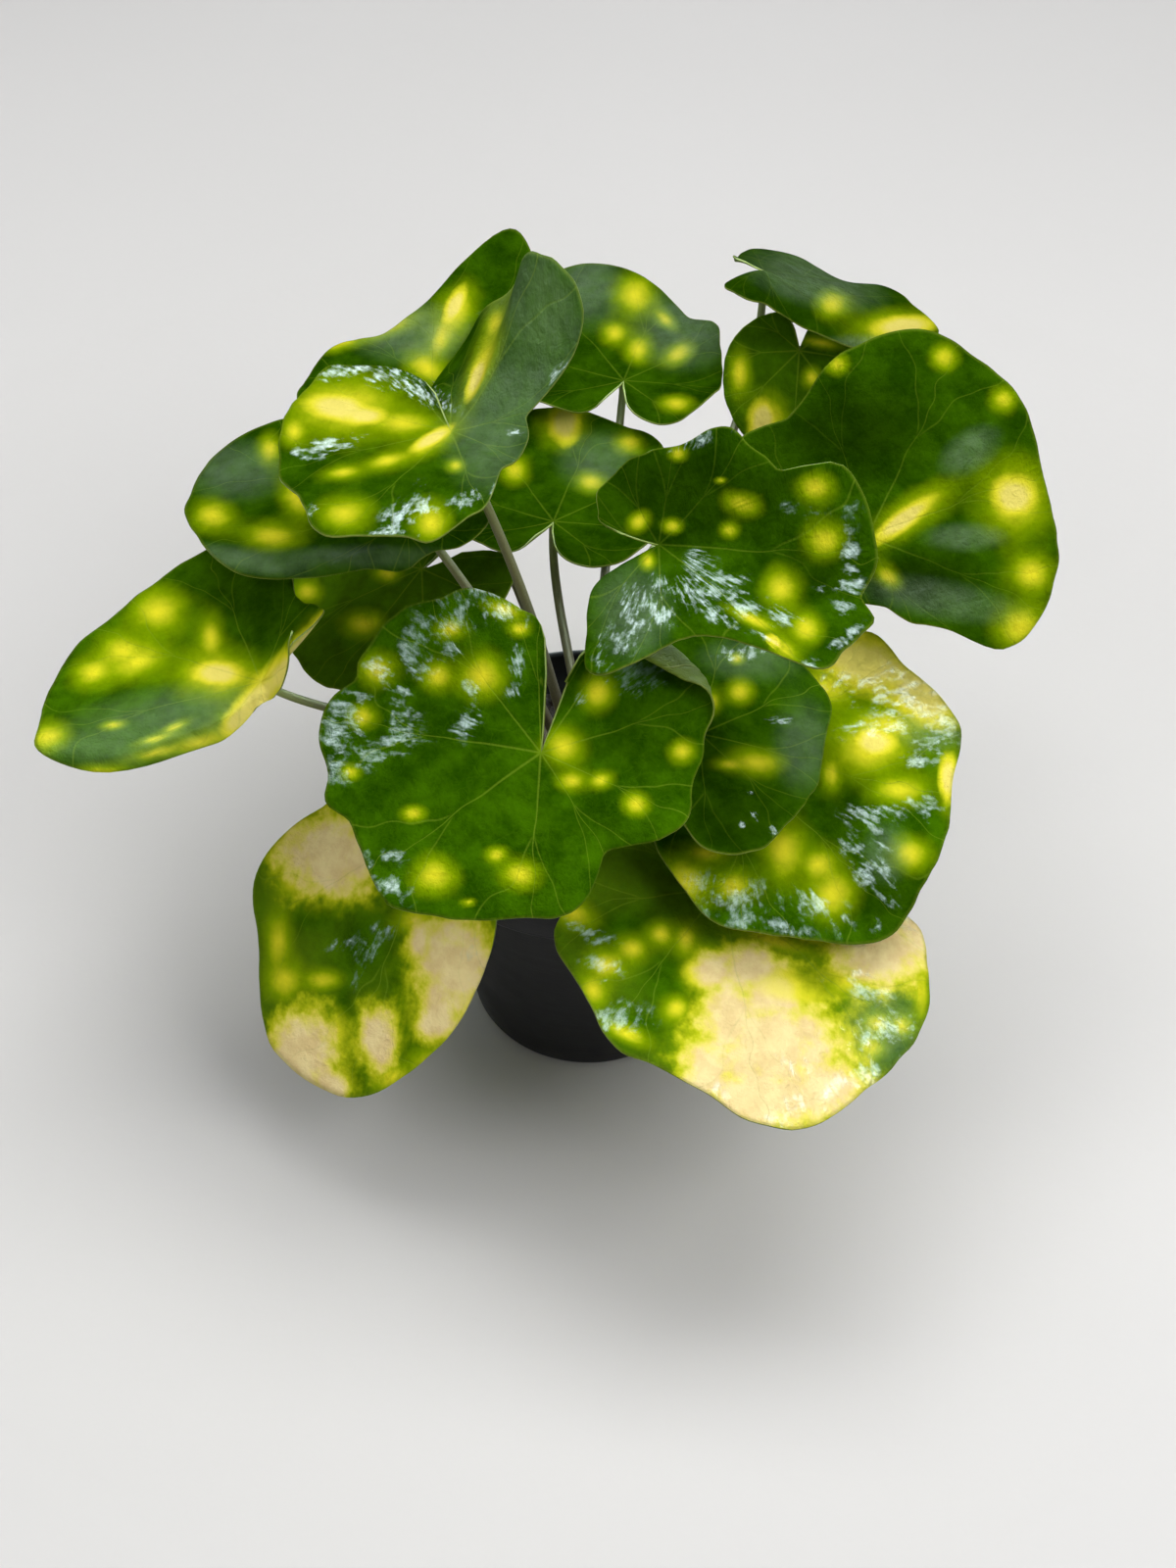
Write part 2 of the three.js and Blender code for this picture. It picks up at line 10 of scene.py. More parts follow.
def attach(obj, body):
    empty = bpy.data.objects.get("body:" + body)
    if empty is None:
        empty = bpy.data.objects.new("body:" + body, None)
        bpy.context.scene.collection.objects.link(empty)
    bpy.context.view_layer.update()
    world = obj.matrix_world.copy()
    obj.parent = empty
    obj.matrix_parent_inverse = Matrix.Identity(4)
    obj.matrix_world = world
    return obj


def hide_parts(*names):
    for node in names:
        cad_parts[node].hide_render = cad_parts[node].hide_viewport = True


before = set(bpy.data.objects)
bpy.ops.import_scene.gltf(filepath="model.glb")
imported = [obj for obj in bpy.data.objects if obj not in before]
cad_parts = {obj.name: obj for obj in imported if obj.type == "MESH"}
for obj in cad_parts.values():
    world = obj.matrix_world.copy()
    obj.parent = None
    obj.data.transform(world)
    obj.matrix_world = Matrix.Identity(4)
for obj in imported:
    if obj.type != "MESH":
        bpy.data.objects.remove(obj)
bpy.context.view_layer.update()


# Pot. A small black nursery pot, moulded thin in matte polypropylene, with a plain rim band that it is
# carried by. The wall tapers to a rounded foot, shows faint rings from the mould and picks up dust in
# soft clouds, most of it near the foot.
POT_SIDES = 128
POT_HEIGHT = 95
POT_FOOT = 36          # outer radii at the foot, under the band and at the rim
POT_SHOULDER = 50
POT_RIM = 54.5
POT_BAND = 11
POT_WALL = 1.4


def linear(red, green, blue):
    """Colour as the eye reads it, 0 to 255, turned into the linear colour that shaders use."""
    return tuple((c / 255 / 12.92 if c <= 10 else ((c / 255 + 0.055) / 1.055) ** 2.4)
                 for c in (red, green, blue)) + (1.0,)


def node(tree, kind, inputs=None, **settings):
    """Adds a node. An input is a constant or another node's output."""
    made = tree.nodes.new(kind)
    for name, value in settings.items():
        setattr(made, name, value)
    for key, value in (inputs or {}).items():
        socket = made.inputs[key]
        if isinstance(value, bpy.types.NodeSocket):
            tree.links.new(value, socket)
        else:
            socket.default_value = value
    return made


def maths(tree, operation, first, second=0.0, third=0.0):
    return node(tree, "ShaderNodeMath", {0: first, 1: second, 2: third}, operation=operation).outputs[0]


def times(tree, first, second):
    return maths(tree, "MULTIPLY", first, second)


def fade(tree, value, low, high, to_low=0.0, to_high=1.0):
    """Smooth step of a value between two limits."""
    return node(tree, "ShaderNodeMapRange",
                {"Value": value, "From Min": low, "From Max": high, "To Min": to_low, "To Max": to_high},
                interpolation_type="SMOOTHSTEP").outputs[0]


def blend(tree, factor, first, second, kind="MIX"):
    return node(tree, "ShaderNodeMix", {0: factor, 6: first, 7: second},
                data_type="RGBA", blend_type=kind).outputs[2]


def grain(tree, vector, scale, detail=3.0, rough=0.55):
    return node(tree, "ShaderNodeTexNoise",
                {"Vector": vector, "Scale": scale, "Detail": detail, "Roughness": rough}).outputs[0]


def swing(tree, vector, scale, detail, rough=0.55):
    """Noise that swings about zero."""
    return maths(tree, "SUBTRACT", grain(tree, vector, scale, detail, rough), 0.5)


def field(tree, name):
    """Value that the mesh carries at its points."""
    return node(tree, "ShaderNodeAttribute", attribute_name=name).outputs["Fac"]


def new_material(name, **shader_values):
    """Empty material with its principled shader set; returns it with its tree and shader."""
    material = bpy.data.materials.new(name)
    material.use_nodes = True
    tree = material.node_tree
    shader = tree.nodes["Principled BSDF"]
    for key, value in shader_values.items():
        shader.inputs[key.replace("_", " ")].default_value = value
    return material, tree, shader


def surface(tree, shader, colour, relief):
    """Feeds a material's colour and its relief in mm; returns the normal of the relief."""
    bump = node(tree, "ShaderNodeBump", {"Height": relief, "Strength": 1.0, "Distance": 0.001})
    tree.links.new(colour, shader.inputs["Base Color"])
    tree.links.new(bump.outputs[0], shader.inputs["Normal"])
    return bump.outputs[0]


def new_group(name, inputs, outputs):
    """Empty node group. Inputs and outputs are pairs of a name and a kind of socket."""
    tree = bpy.data.node_groups.new(name, "ShaderNodeTree")
    for label, kind in inputs:
        tree.interface.new_socket(label, in_out="INPUT", socket_type="NodeSocket" + kind)
    for label, kind in outputs:
        tree.interface.new_socket(label, in_out="OUTPUT", socket_type="NodeSocket" + kind)
    return tree, tree.nodes.new("NodeGroupInput").outputs, tree.nodes.new("NodeGroupOutput").inputs


def use_group(tree, group, inputs):
    return node(tree, "ShaderNodeGroup", inputs, node_tree=group).outputs


def add_piece(name, bm, materials, slot, *nodes):
    """Turns the bmesh into a piece of the plant that stands for its CAD nodes."""
    for face in bm.faces:
        face.smooth = True
    mesh = bpy.data.meshes.new(name)
    bm.to_mesh(mesh)
    bm.free()
    piece = bpy.data.objects.new(name, mesh)
    bpy.context.scene.collection.objects.link(piece)
    for material in materials:
        mesh.materials.append(material)
    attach(piece, "root")
    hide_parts(*nodes)
    return piece


def pot_radius(z):
    return POT_FOOT + (POT_SHOULDER - POT_FOOT) * z / (POT_HEIGHT - POT_BAND)


band = POT_HEIGHT - POT_BAND
pot_line = [(0.01, 0.0), (POT_FOOT - 6, 0.0), (POT_FOOT - 3.2, 0.25), (POT_FOOT - 1.4, 1.1),
            (POT_FOOT - 0.1, 2.6), (pot_radius(4.5), 4.5)]
pot_line += [(pot_radius(z), z) for z in range(12, int(band), 8)]
pot_line += [(POT_SHOULDER - 0.2, band - 1.2), (POT_SHOULDER + 0.1, band - 0.3),
             (POT_SHOULDER + 0.8, band), (POT_RIM - 1.0, band), (POT_RIM - 0.3, band + 0.2),
             (POT_RIM, band + 1.0), (POT_RIM, POT_HEIGHT - 1.1), (POT_RIM - 0.3, POT_HEIGHT - 0.3),
             (POT_RIM - 1.0, POT_HEIGHT), (POT_RIM - 1.7, POT_HEIGHT - 0.1),
             (POT_RIM - 2.3, POT_HEIGHT - 0.9), (POT_RIM - 2.4, band + POT_WALL + 1),
             (POT_SHOULDER - POT_WALL, band), (pot_radius(60) - POT_WALL, 60)]
bm = bmesh.new()
line = [bm.verts.new((r / 1000, 0, z / 1000)) for r, z in pot_line]
edges = [bm.edges.new(pair) for pair in zip(line, line[1:])]
bmesh.ops.spin(bm, geom=line + edges, cent=(0, 0, 0), axis=(0, 0, 1), angle=2 * math.pi,
               steps=POT_SIDES, use_merge=True)
bmesh.ops.remove_doubles(bm, verts=bm.verts, dist=2e-5)
bmesh.ops.recalc_face_normals(bm, faces=bm.faces)

pot_plastic, tree, shader = new_material("pot_plastic", IOR=1.49, Specular_IOR_Level=0.2)
place = node(tree, "ShaderNodeTexCoord").outputs["Object"]
height = node(tree, "ShaderNodeSeparateXYZ", {0: place}).outputs[2]
cloud = grain(tree, place, 35, 4)
pebble = grain(tree, place, 1400, 2)
stretched = node(tree, "ShaderNodeMapping", {0: place, "Scale": (1, 1, 40)}).outputs[0]
rings = grain(tree, stretched, 12, 2)
dust = times(tree, fade(tree, cloud, 0.5, 0.75), fade(tree, height, 0.03, 0.0, 0.15, 1.0))
black = blend(tree, cloud, linear(20, 20, 22), linear(31, 31, 33))
tree.links.new(fade(tree, cloud, 0.3, 0.7, 0.42, 0.58), shader.inputs["Roughness"])
surface(tree, shader, blend(tree, times(tree, dust, 0.5), black, linear(84, 80, 74)),
        maths(tree, "ADD", times(tree, pebble, 0.03), times(tree, rings, 0.05)))
add_piece("pot_shell", bm, [pot_plastic], "pot_plastic", "pot")


# Soil. Moist dark peat with bark crumbs and a little perlite, heaped slightly to the middle where the
# stalks come up and pressed down along the wall. It is a displaced disc with loose crumbs lying on it.
SOIL_TOP = 86
SOIL_RADIUS = 48.2
WALL_DIP = 43          # radius from which the mix sinks to the wall
CRUMBS = 420
CRUMB_RADIUS = 0.5, 1.7
CRUMB_REACH = 47.2     # furthest that a crumb lies from the middle
FINE_FROM = 46         # radius from which crumbs are finer
PERLITE_SHARE = 0.05


def soil_height(x, y):
    """Top of the mix in mm."""
    r = math.hypot(x, y)
    rough = noise.fractal(Vector((x, y, 3.0)) * 0.16, 0.8, 2.1, 5)
    edge = max(0.0, (r - WALL_DIP) / (SOIL_RADIUS - WALL_DIP)) ** 2
    return (SOIL_TOP + 1.2 * math.exp(-r * r / 500) + 0.8 * math.sin(x * 0.21 + 1.3) * math.cos(y * 0.24)
            + 1.1 * rough - 3.0 * edge)


bm = bmesh.new()
bmesh.ops.create_grid(bm, x_segments=150, y_segments=60, size=1)
speckle = bm.verts.layers.float.new("light_bit")
for v in bm.verts:
    a, r = math.pi * (v.co.x + 1), SOIL_RADIUS * (v.co.y + 1) / 2
    x, y = r * math.cos(a), r * math.sin(a)
    v.co = Vector((x, y, soil_height(x, y))) / 1000
bmesh.ops.remove_doubles(bm, verts=bm.verts, dist=1e-5)
rng = random.Random(7)
for i in range(CRUMBS):
    a, r = rng.uniform(0, 2 * math.pi), CRUMB_REACH * math.sqrt(rng.random())
    x, y = r * math.cos(a), r * math.sin(a)
    size = rng.uniform(*CRUMB_RADIUS) * (0.7 + 0.6 * rng.random())
    if r > FINE_FROM:
        size *= 0.6
    crumb = bmesh.ops.create_icosphere(bm, subdivisions=2, radius=1)["verts"]
    stretch = Vector((rng.uniform(0.8, 1.7), rng.uniform(0.7, 1.1), rng.uniform(0.5, 0.9))) * size
    turn = rng.uniform(0, math.pi)
    pale = 1.0 if rng.random() < PERLITE_SHARE else 0.0
    for v in crumb:
        p = v.co * (1 + 0.35 * noise.noise(v.co * 1.7 + Vector((i, 0, 0))))
        p = Vector((p.x * stretch.x, p.y * stretch.y, p.z * stretch.z))
        p = Vector((p.x * math.cos(turn) - p.y * math.sin(turn),
                    p.x * math.sin(turn) + p.y * math.cos(turn), p.z))
        v.co = (Vector((x, y, soil_height(x, y) + 0.25 * size)) + p) / 1000
        v[speckle] = pale
bmesh.ops.recalc_face_normals(bm, faces=bm.faces)

peat, tree, shader = new_material("peat_mix", Roughness=0.92)
place = node(tree, "ShaderNodeTexCoord").outputs["Object"]
crumbs = node(tree, "ShaderNodeTexVoronoi", {"Vector": place, "Scale": 620.0}).outputs
cloud = grain(tree, place, 90, 5, 0.7)
fibre = grain(tree, place, 900, 4, 0.7)
brown = blend(tree, cloud, linear(24, 16, 10), linear(66, 46, 31))
brown = blend(tree, fade(tree, crumbs["Color"], 0.75, 0.95, 0.0, 0.45), brown, linear(98, 70, 46))
surface(tree, shader, blend(tree, field(tree, "light_bit"), brown, linear(206, 201, 190)),
        times(tree, maths(tree, "ADD", crumbs["Distance"], fibre), 0.5))
add_piece("peat_surface", bm, [peat], "potting_mix", "soil")


# Leaf blades. Leathery kidney-shaped blades, deep green with soft yellow spots, cream patches on the
# oldest and broken glossy patches. Each grows on a stalk at the bottom of its notch, with shallow lobes
# and waves at the margin, main veins that fan out from the joint and puffed fields between them.
BLADE = 0.5            # thickness
SPOKES = 190
RINGS = 38
NOTCH = 16, 16         # usual half widths of the notch in degrees, right and left
CUP = 1.6              # usual bend of a blade: 1 is a straight spoke, more rises late
LOBE_ROUND = 26        # degrees beside the notch in which the lobes round off
NOTCH_START = 0.42     # share of the reach at the notch itself
VEIN_STEP = 42         # degrees between main veins
SCALLOP = 0.045        # wobble of the margin as a share of the reach
PUFF, DIMPLE = 1.3, 0.9
INNER, OUTER = 5.6, 12.2   # rings of stalk holes in the mix
CAMERA = Vector((0, -399, 504))
LOOK_DOWN = math.radians(46)
PHOTO_WIDE, PHOTO_HIGH = 1200, 1600
VIEW_PIXELS = 2000     # focal length in pixels of the photograph
PIXEL = 0.27           # mm that a pixel spans at the leaves
MARK_TRIES = 110
MARK_RADIUS = 3.5, 8.0
JOINT_CLEAR = 8        # radius round the joint that random marks keep out of

# Lengths are in mm, angles in degrees from the midrib. reach, rise and fold are pairs of a spoke's angle
# and its distance to the margin, the margin's height over the blade's plane, and the spoke's slope. wave
# is the waves' height, number and phase, curls are rolls of the margin, and the stalk leans from bend.
# ribs are main veins, and tone darkens a leaf. A mark is an ellipse in the photograph: x, y, half width,
# half height and turn. Where a blade is hidden in it, marks are placed at random.
# tone and the dark marks are partly painted shade, for leaves and parts of blades that lie in shade. Marks
# of painted sheen tint the colour pale, and the shine marks add a painted highlight.
LEAVES = [
  dict(name="front", joint=(-12, -46, 150), heading=-97, pitch=-25, notch=(3, 16),
    reach=[(-174, 48), (-166, 44), (-150, 48), (-141, 49), (-130, 54), (-114, 55), (-108, 53), (-100, 57),
      (-90, 58.5), (-80, 55.5), (-72, 56.5), (-65, 52), (-50, 52.5), (-38, 54.5), (-28, 50.5), (-12, 45),
      (0, 42.5), (12, 43), (20, 41), (30, 35), (39, 30.5), (48, 32.5), (60, 38.5), (70, 41.5), (84, 39.5),
      (94, 41), (102, 42.5), (108, 46.5), (114, 50), (120, 52.5), (128, 54), (138, 54), (144, 53),
      (150, 49), (162, 50)],
    rise=[(-150, 4), (-90, -3), (0, -4), (90, 0), (150, 4)], wave=(1.2, 7, 0),
    curls=[dict(at=140, wide=48, turn=165, begin=0.76)], hole=(OUTER, 255), tone=0.08,
    ribs=[-172, -137, -95, -48, 3, 38, 70, 112],
    spots=[(385, 683, 25, 22), (447, 690, 22, 20), (492, 690, 30, 30), (460, 642, 20, 14),
      (515, 622, 26, 12, 15), (530, 642, 14, 10), (370, 731, 19, 16), (358, 788, 14, 11),
      (421, 830, 16, 11), (443, 893, 30, 25), (531, 893, 26, 20), (507, 872, 14, 11), (610, 707, 22, 24),
      (575, 762, 27, 24), (584, 797, 19, 14), (613, 796, 17, 11, -15), (649, 821, 17, 16),
      (696, 767, 18, 16), (478, 921, 9, 5)],
    shine=[(500, 608, 36, 14, -5), (470, 622, 30, 16, -25), (515, 624, 24, 12, 15), (438, 645, 20, 20),
      (425, 672, 18, 18), (385, 683, 16, 10, 15), (480, 700, 8, 8), (526, 678, 8, 22), (525, 706, 10, 8),
      (412, 702, 10, 5), (476, 738, 12, 18, 30), (412, 733, 17, 20, 20), (345, 745, 25, 25, 20),
      (365, 768, 44, 14), (340, 785, 18, 16), (390, 757, 40, 6), (655, 686, 42, 14), (646, 700, 16, 12),
      (591, 713, 6, 6), (377, 880, 9, 15, -25), (395, 872, 22, 6), (402, 905, 24, 15, 20),
      (455, 662, 22, 10), (362, 712, 20, 8)]),
  dict(name="crest", joint=(-35, 13, 207), heading=-75, pitch=5, notch=(4, 1),
    reach=[(-174, 34), (-162, 34), (-150, 38), (-144, 43), (-132, 42), (-118, 41), (-102, 42.5), (-78, 46),
      (-66, 46), (-56, 49.5), (-46, 54), (-38, 50), (-26, 46), (-18, 47.5), (-6, 40), (0, 38), (8, 31),
      (18, 24.5), (36, 21), (60, 20.5), (78, 19.5), (84, 21), (90, 26), (97, 34), (104, 39.5), (110, 40),
      (120, 38.5), (132, 36), (138, 39), (145, 44.5), (156, 46), (163, 52), (170, 57), (178, 60)],
    rise=[(-172, 2), (-150, 5), (-120, 4), (-60, 0), (170, 0)], fold=[(55, 0), (75, 0.12), (95, 0.42),
      (112, 0.72), (124, 0.88), (132, 0.88), (145, 0.4), (156, 0.25), (163, 0.02), (170, -0.15),
      (178, -0.25)], cup=1.7, wave=(1.2, 6, 40), bend=(-19, 10, 168), hole=(INNER, 234), tone=0.3,
    spots=[(350, 415, 78, 42), (410, 432, 45, 18), (395, 470, 30, 10, -15), (350, 482, 26, 9, -10),
      (352, 524, 34, 22), (440, 533, 24, 27), (438, 452, 42, 13, -28), (507, 290, 22, 20, -30),
      (492, 370, 16, 50, 22), (505, 330, 14, 24, 15), (300, 440, 16, 18), (465, 475, 12, 8)],
    creams=[(345, 416, 34, 15, 8), (372, 424, 22, 9), (440, 448, 24, 7, -30), (486, 385, 7, 24, 22)],
    shine=[(360, 370, 30, 10, 20), (385, 378, 22, 12, 20), (340, 382, 16, 7, -20), (475, 508, 16, 10, -30),
      (415, 520, 10, 26, 30), (405, 533, 16, 12, 20), (335, 455, 34, 7, -12), (320, 462, 20, 7, -20),
      (430, 520, 12, 12), (320, 520, 9, 8), (430, 400, 40, 10, 25), (390, 544, 24, 4), (525, 441, 8, 4),
      (577, 372, 10, 5, -40), (565, 385, 12, 5, -35), (528, 470, 14, 4, -50), (505, 500, 4, 12)],
    painted_sheen=[(550, 310, 50, 70, -20), (530, 400, 60, 40, -30), (500, 450, 40, 50)]),
  dict(name="wing", joint=(-48, 22, 174), heading=188, pitch=-5, roll=4,
    reach=[(-160, 34), (-120, 44), (-80, 56), (-45, 70), (-22, 67), (-5, 58), (18, 47), (35, 31), (60, 23),
      (90, 20), (125, 22), (155, 26)],
    rise=[(-150, 2), (0, -2), (150, 2)], cup=1.5, wave=(1.2, 7, 90),
    curls=[dict(at=80, wide=80, turn=-45, begin=0.6)], hole=(INNER, 162), tone=0.3,
    spots=[(217, 527, 28, 22), (278, 547, 38, 18), (303, 508, 20, 30, -25), (275, 458, 16, 20)],
    painted_sheen=[(250, 572, 70, 12, 10), (380, 568, 90, 12), (240, 480, 50, 30)]),
  dict(name="curled_left", joint=(-88, -13, 144), heading=195, pitch=-15, notch=(14, 8),
    reach=[(-162, 30), (-150, 26), (-126, 26.5), (-114, 40), (-102, 48), (-90, 54), (-60, 53.5), (-48, 53),
      (-36, 58.5), (-18, 60.5), (0, 59), (6, 59.5), (12, 56), (18, 50), (24, 36), (30, 26.5), (36, 21),
      (42, 15), (48, 11.5), (56, 10), (72, 9.6), (84, 8.5), (96, 8), (108, 10), (116, 15), (124, 18.5),
      (132, 20), (140, 20), (148, 18), (158, 14), (166, 11)],
    rise=[(-150, 4), (0, 0), (150, 0)], fold=[(-150, 0.1), (-60, 0.08), (-20, 0.1), (6, 0.2), (25, 0.08),
      (50, 0.05), (72, 0.12), (90, 0.2), (105, 0.3), (112, 0.45), (120, 0.65), (128, 0.85), (135, 1.05),
      (166, 1.2)], cup=1.15, wave=(1.2, 6, 20), curls=[dict(at=66, wide=80, turn=-58, begin=0.5)],
    hole=(OUTER, 185), tone=-0.05,
    spots=[(162, 624, 38, 30, -15), (127, 664, 32, 24), (95, 686, 28, 20, -20), (222, 688, 55, 32),
      (50, 752, 26, 20, -20), (103, 790, 34, 13), (140, 676, 40, 20, -15), (215, 650, 16, 30),
      (205, 757, 44, 14, -12), (240, 738, 30, 20, -45), (268, 710, 30, 22, -50), (294, 682, 30, 20, -55),
      (316, 655, 28, 18, -58), (331, 636, 16, 14), (160, 768, 34, 8, -12), (115, 740, 16, 6, -10),
      (178, 742, 18, 6, -25), (158, 754, 24, 6, -15)],
    creams=[(222, 687, 26, 13), (262, 714, 40, 15, -50), (288, 686, 30, 13, -52), (243, 734, 20, 11, -45),
      (308, 664, 30, 12, -58), (326, 640, 18, 9, -58)],
    painted_sheen=[(180, 735, 110, 34, -8), (110, 765, 60, 14)]),
  dict(name="shade_left", joint=(-50, 57, 125), heading=190, pitch=-20,
    reach=[(-155, 22), (-130, 28), (-100, 42), (-45, 50), (0, 46), (50, 46), (100, 42), (155, 34)],
    rise=[(-150, 4), (0, -4), (150, 2)], wave=(1.2, 7, 0), hole=(OUTER, 145), tone=-0.3,
    spots=[(314, 604, 18, 15), (302, 628, 18, 12), (371, 637, 28, 18), (395, 585, 18, 12),
      (278, 645, 11, 30), (400, 560, 20, 12)],
    creams=[(278, 640, 4, 14)]),
  dict(name="low_left", joint=(-41, -30, 105), heading=-121, pitch=-30,
    reach=[(-160, 24), (-110, 28), (-77, 37), (-55, 59), (-37, 67), (-20, 80), (-5, 81), (8, 73), (20, 60),
      (42, 39), (60, 30), (110, 26), (155, 24)],
    rise=[(-150, 3), (-75, 0), (-40, -18), (0, -28), (40, -13), (75, 3), (150, 3)], cup=1.7,
    wave=(1.5, 6, 0), hole=(OUTER, 218), tone=-0.5,
    spots=[(284, 960, 17, 40), (300, 900, 26, 24), (440, 1085, 30, 24), (425, 940, 30, 20),
      (505, 970, 14, 40), (290, 1000, 26, 26), (400, 1100, 30, 20), (330, 1000, 24, 14)],
    creams=[(338, 873, 60, 46), (308, 1076, 40, 50, 15), (335, 1108, 26, 16, 20), (386, 1060, 20, 36, -6),
      (466, 985, 44, 58, -12), (446, 1040, 24, 26, -20), (428, 962, 10, 22)],
    shine=[(485, 962, 9, 9), (476, 975, 9, 6), (478, 998, 9, 7), (470, 1012, 8, 5), (372, 978, 11, 30, 28),
      (352, 962, 20, 6, -15), (392, 950, 16, 6, -10)],
    dark=[(372, 965, 34, 42, 20), (322, 935, 34, 14, -10), (352, 1040, 10, 46, -4), (362, 1095, 9, 26, -15),
      (410, 1020, 9, 50, -10), (420, 1075, 10, 22, -25)]),
  dict(name="low_front", joint=(36, -50, 102), heading=-82, pitch=-10, roll=-8,
    reach=[(-156, 32), (-132, 35), (-108, 40), (-84, 43.5), (-76, 49), (-60, 51), (-44, 56), (-36, 57.5),
      (-28, 57), (-12, 60.5), (-4, 67.5), (4, 71), (12, 70), (28, 66.5), (44, 65.5), (60, 60), (76, 57),
      (84, 50.5), (100, 46), (124, 39), (140, 35.5), (156, 34)],
    rise=[(-150, 3), (0, -3), (150, 0)], wave=(1.4, 7, 60), bend=(20, -29, 107), hole=(OUTER, 300),
    tone=-0.45,
    spots=[(619, 985, 27, 22), (645, 968, 22, 18), (605, 1011, 20, 22), (585, 932, 30, 20, 15),
      (674, 953, 18, 16), (700, 958, 16, 22), (690, 1029, 20, 18), (715, 1070, 32, 36), (865, 1000, 40, 26),
      (895, 1045, 22, 16), (920, 1047, 18, 16), (888, 1069, 22, 18), (745, 1064, 18, 28),
      (640, 1055, 34, 12, 25), (940, 1010, 12, 40), (790, 960, 60, 14, 15), (720, 975, 22, 14)],
    creams=[(727, 990, 26, 18), (766, 986, 32, 24), (790, 1014, 32, 28), (745, 1035, 30, 36),
      (790, 1070, 76, 56), (775, 1120, 62, 42), (722, 1095, 28, 36), (840, 1112, 48, 34),
      (898, 968, 52, 42), (935, 935, 18, 50), (800, 945, 50, 8, 12)],
    shine=[(896, 1019, 28, 10, 30), (910, 1055, 26, 20, 15), (884, 1100, 30, 14, -10),
      (850, 1112, 30, 12, -25), (800, 1142, 30, 9), (820, 1130, 30, 10), (635, 1040, 30, 16),
      (608, 984, 18, 8), (600, 952, 34, 8, 20), (633, 990, 6, 8), (880, 1060, 18, 18),
      (820, 1090, 30, 8, 20), (870, 995, 30, 6, -10), (612, 1000, 8, 6), (735, 1115, 10, 10, 30)],
    painted_sheen=[(900, 1050, 40, 50)],
    dark=[(680, 1000, 30, 40), (650, 1050, 34, 22), (820, 1005, 50, 18), (905, 1055, 40, 36),
      (640, 950, 40, 24)]),
  dict(name="low_right", joint=(40, -20, 124), heading=-45, pitch=-15, notch=(18, 18),
    reach=[(-156, 12), (-140, 13), (-124, 17), (-108, 24.5), (-84, 36.5), (-68, 43.5), (-52, 53), (-44, 54),
      (-36, 55), (-20, 60), (-4, 64.5), (12, 62), (36, 63), (46, 63.5), (60, 69), (68, 67.5), (80, 64.5),
      (92, 65), (100, 58), (116, 45.5), (132, 36.5), (148, 31), (156, 30)],
    rise=[(-150, 3), (0, -4), (150, 3)], wave=(1.4, 7, 0), hole=(OUTER, 338),
    spots=[(885, 672, 66, 48), (845, 700, 34, 30), (938, 708, 50, 32, 35), (885, 764, 56, 36),
      (905, 740, 50, 24), (918, 806, 36, 20), (970, 800, 14, 40), (930, 872, 27, 23), (850, 912, 32, 34),
      (836, 882, 24, 22), (800, 868, 30, 40), (700, 900, 32, 36), (748, 905, 30, 20), (848, 790, 12, 22),
      (720, 870, 30, 14)],
    # The two large creams at the upper right are the blade's own cream, widened as painted light where the
    # blade lies in shade; the last two shine marks add painted highlight there.
    creams=[(884, 676, 58, 30, 20), (940, 708, 44, 26, 35), (893, 757, 22, 15), (968, 795, 10, 24)],
    shine=[(880, 702, 18, 7, 20), (905, 715, 40, 14, 20), (895, 742, 34, 10, -10), (955, 735, 30, 20),
      (958, 757, 20, 10), (892, 832, 30, 14), (880, 864, 30, 8), (945, 824, 22, 12), (888, 893, 7, 18, -30),
      (743, 922, 44, 24, 8), (838, 927, 30, 14, 25), (790, 946, 40, 8, 15), (715, 905, 16, 14),
      (905, 690, 10, 5), (908, 688, 7, 5), (940, 775, 16, 10), (930, 720, 30, 10, 20),
      (905, 905, 8, 30, -20), (880, 885, 12, 16), (893, 944, 5, 6), (860, 955, 5, 3),
      (928, 712, 48, 24, 30), (885, 700, 34, 12, 10)],
    painted_sheen=[(950, 745, 36, 22), (905, 870, 24, 30)],
    dark=[(915, 915, 60, 40), (860, 810, 24, 50), (850, 780, 20, 30)]),
  dict(name="small_right", joint=(30, -25, 136), heading=-5, pitch=-10, notch=(24, 24),
    reach=[(-152, 22), (-136, 23.5), (-112, 29.5), (-96, 34), (-84, 40), (-64, 40.5), (-48, 36.5),
      (-24, 34), (0, 34), (16, 36.5), (32, 42), (48, 44.5), (56, 44.5), (72, 46.5), (88, 47.5), (104, 44),
      (113, 40), (120, 31), (136, 24.5), (152, 22)],
    rise=[(-150, 2), (0, -2), (70, 3), (150, 2)], wave=(1, 6, 0), bend=(9, -12, 129), hole=(INNER, 306),
    tone=0.12,
    spots=[(772, 778, 34, 18, 5), (745, 780, 22, 8), (755, 706, 19, 17), (752, 672, 10, 8),
      (728, 716, 10, 14)],
    shine=[(765, 809, 4, 3), (769, 833, 4, 6, -30), (757, 840, 5, 4), (790, 845, 7, 7),
      (762, 665, 30, 10, -10), (800, 735, 16, 4)],
    painted_sheen=[(820, 762, 30, 46), (765, 672, 50, 22)],
    dark=[(740, 850, 60, 40), (715, 765, 30, 40)]),
  dict(name="right", joint=(18, -8, 187), heading=-5, notch=(28, 8),
    reach=[(-150, 24), (-138, 24), (-126, 28), (-120, 33), (-114, 38), (-105, 39.5), (-96, 36.5), (-78, 30),
      (-66, 30), (-57, 34), (-48, 43.5), (-42, 55.5), (-30, 55.5), (-24, 56.5), (-18, 58), (-12, 53.5),
      (0, 56), (6, 54), (12, 50.5), (18, 45.5), (21.5, 33.5), (25, 31), (31, 30), (38, 28.5), (50, 27),
      (60, 24), (72, 21), (90, 19.5), (108, 17.5), (120, 18.5), (150, 19), (162, 19), (170, 22)],
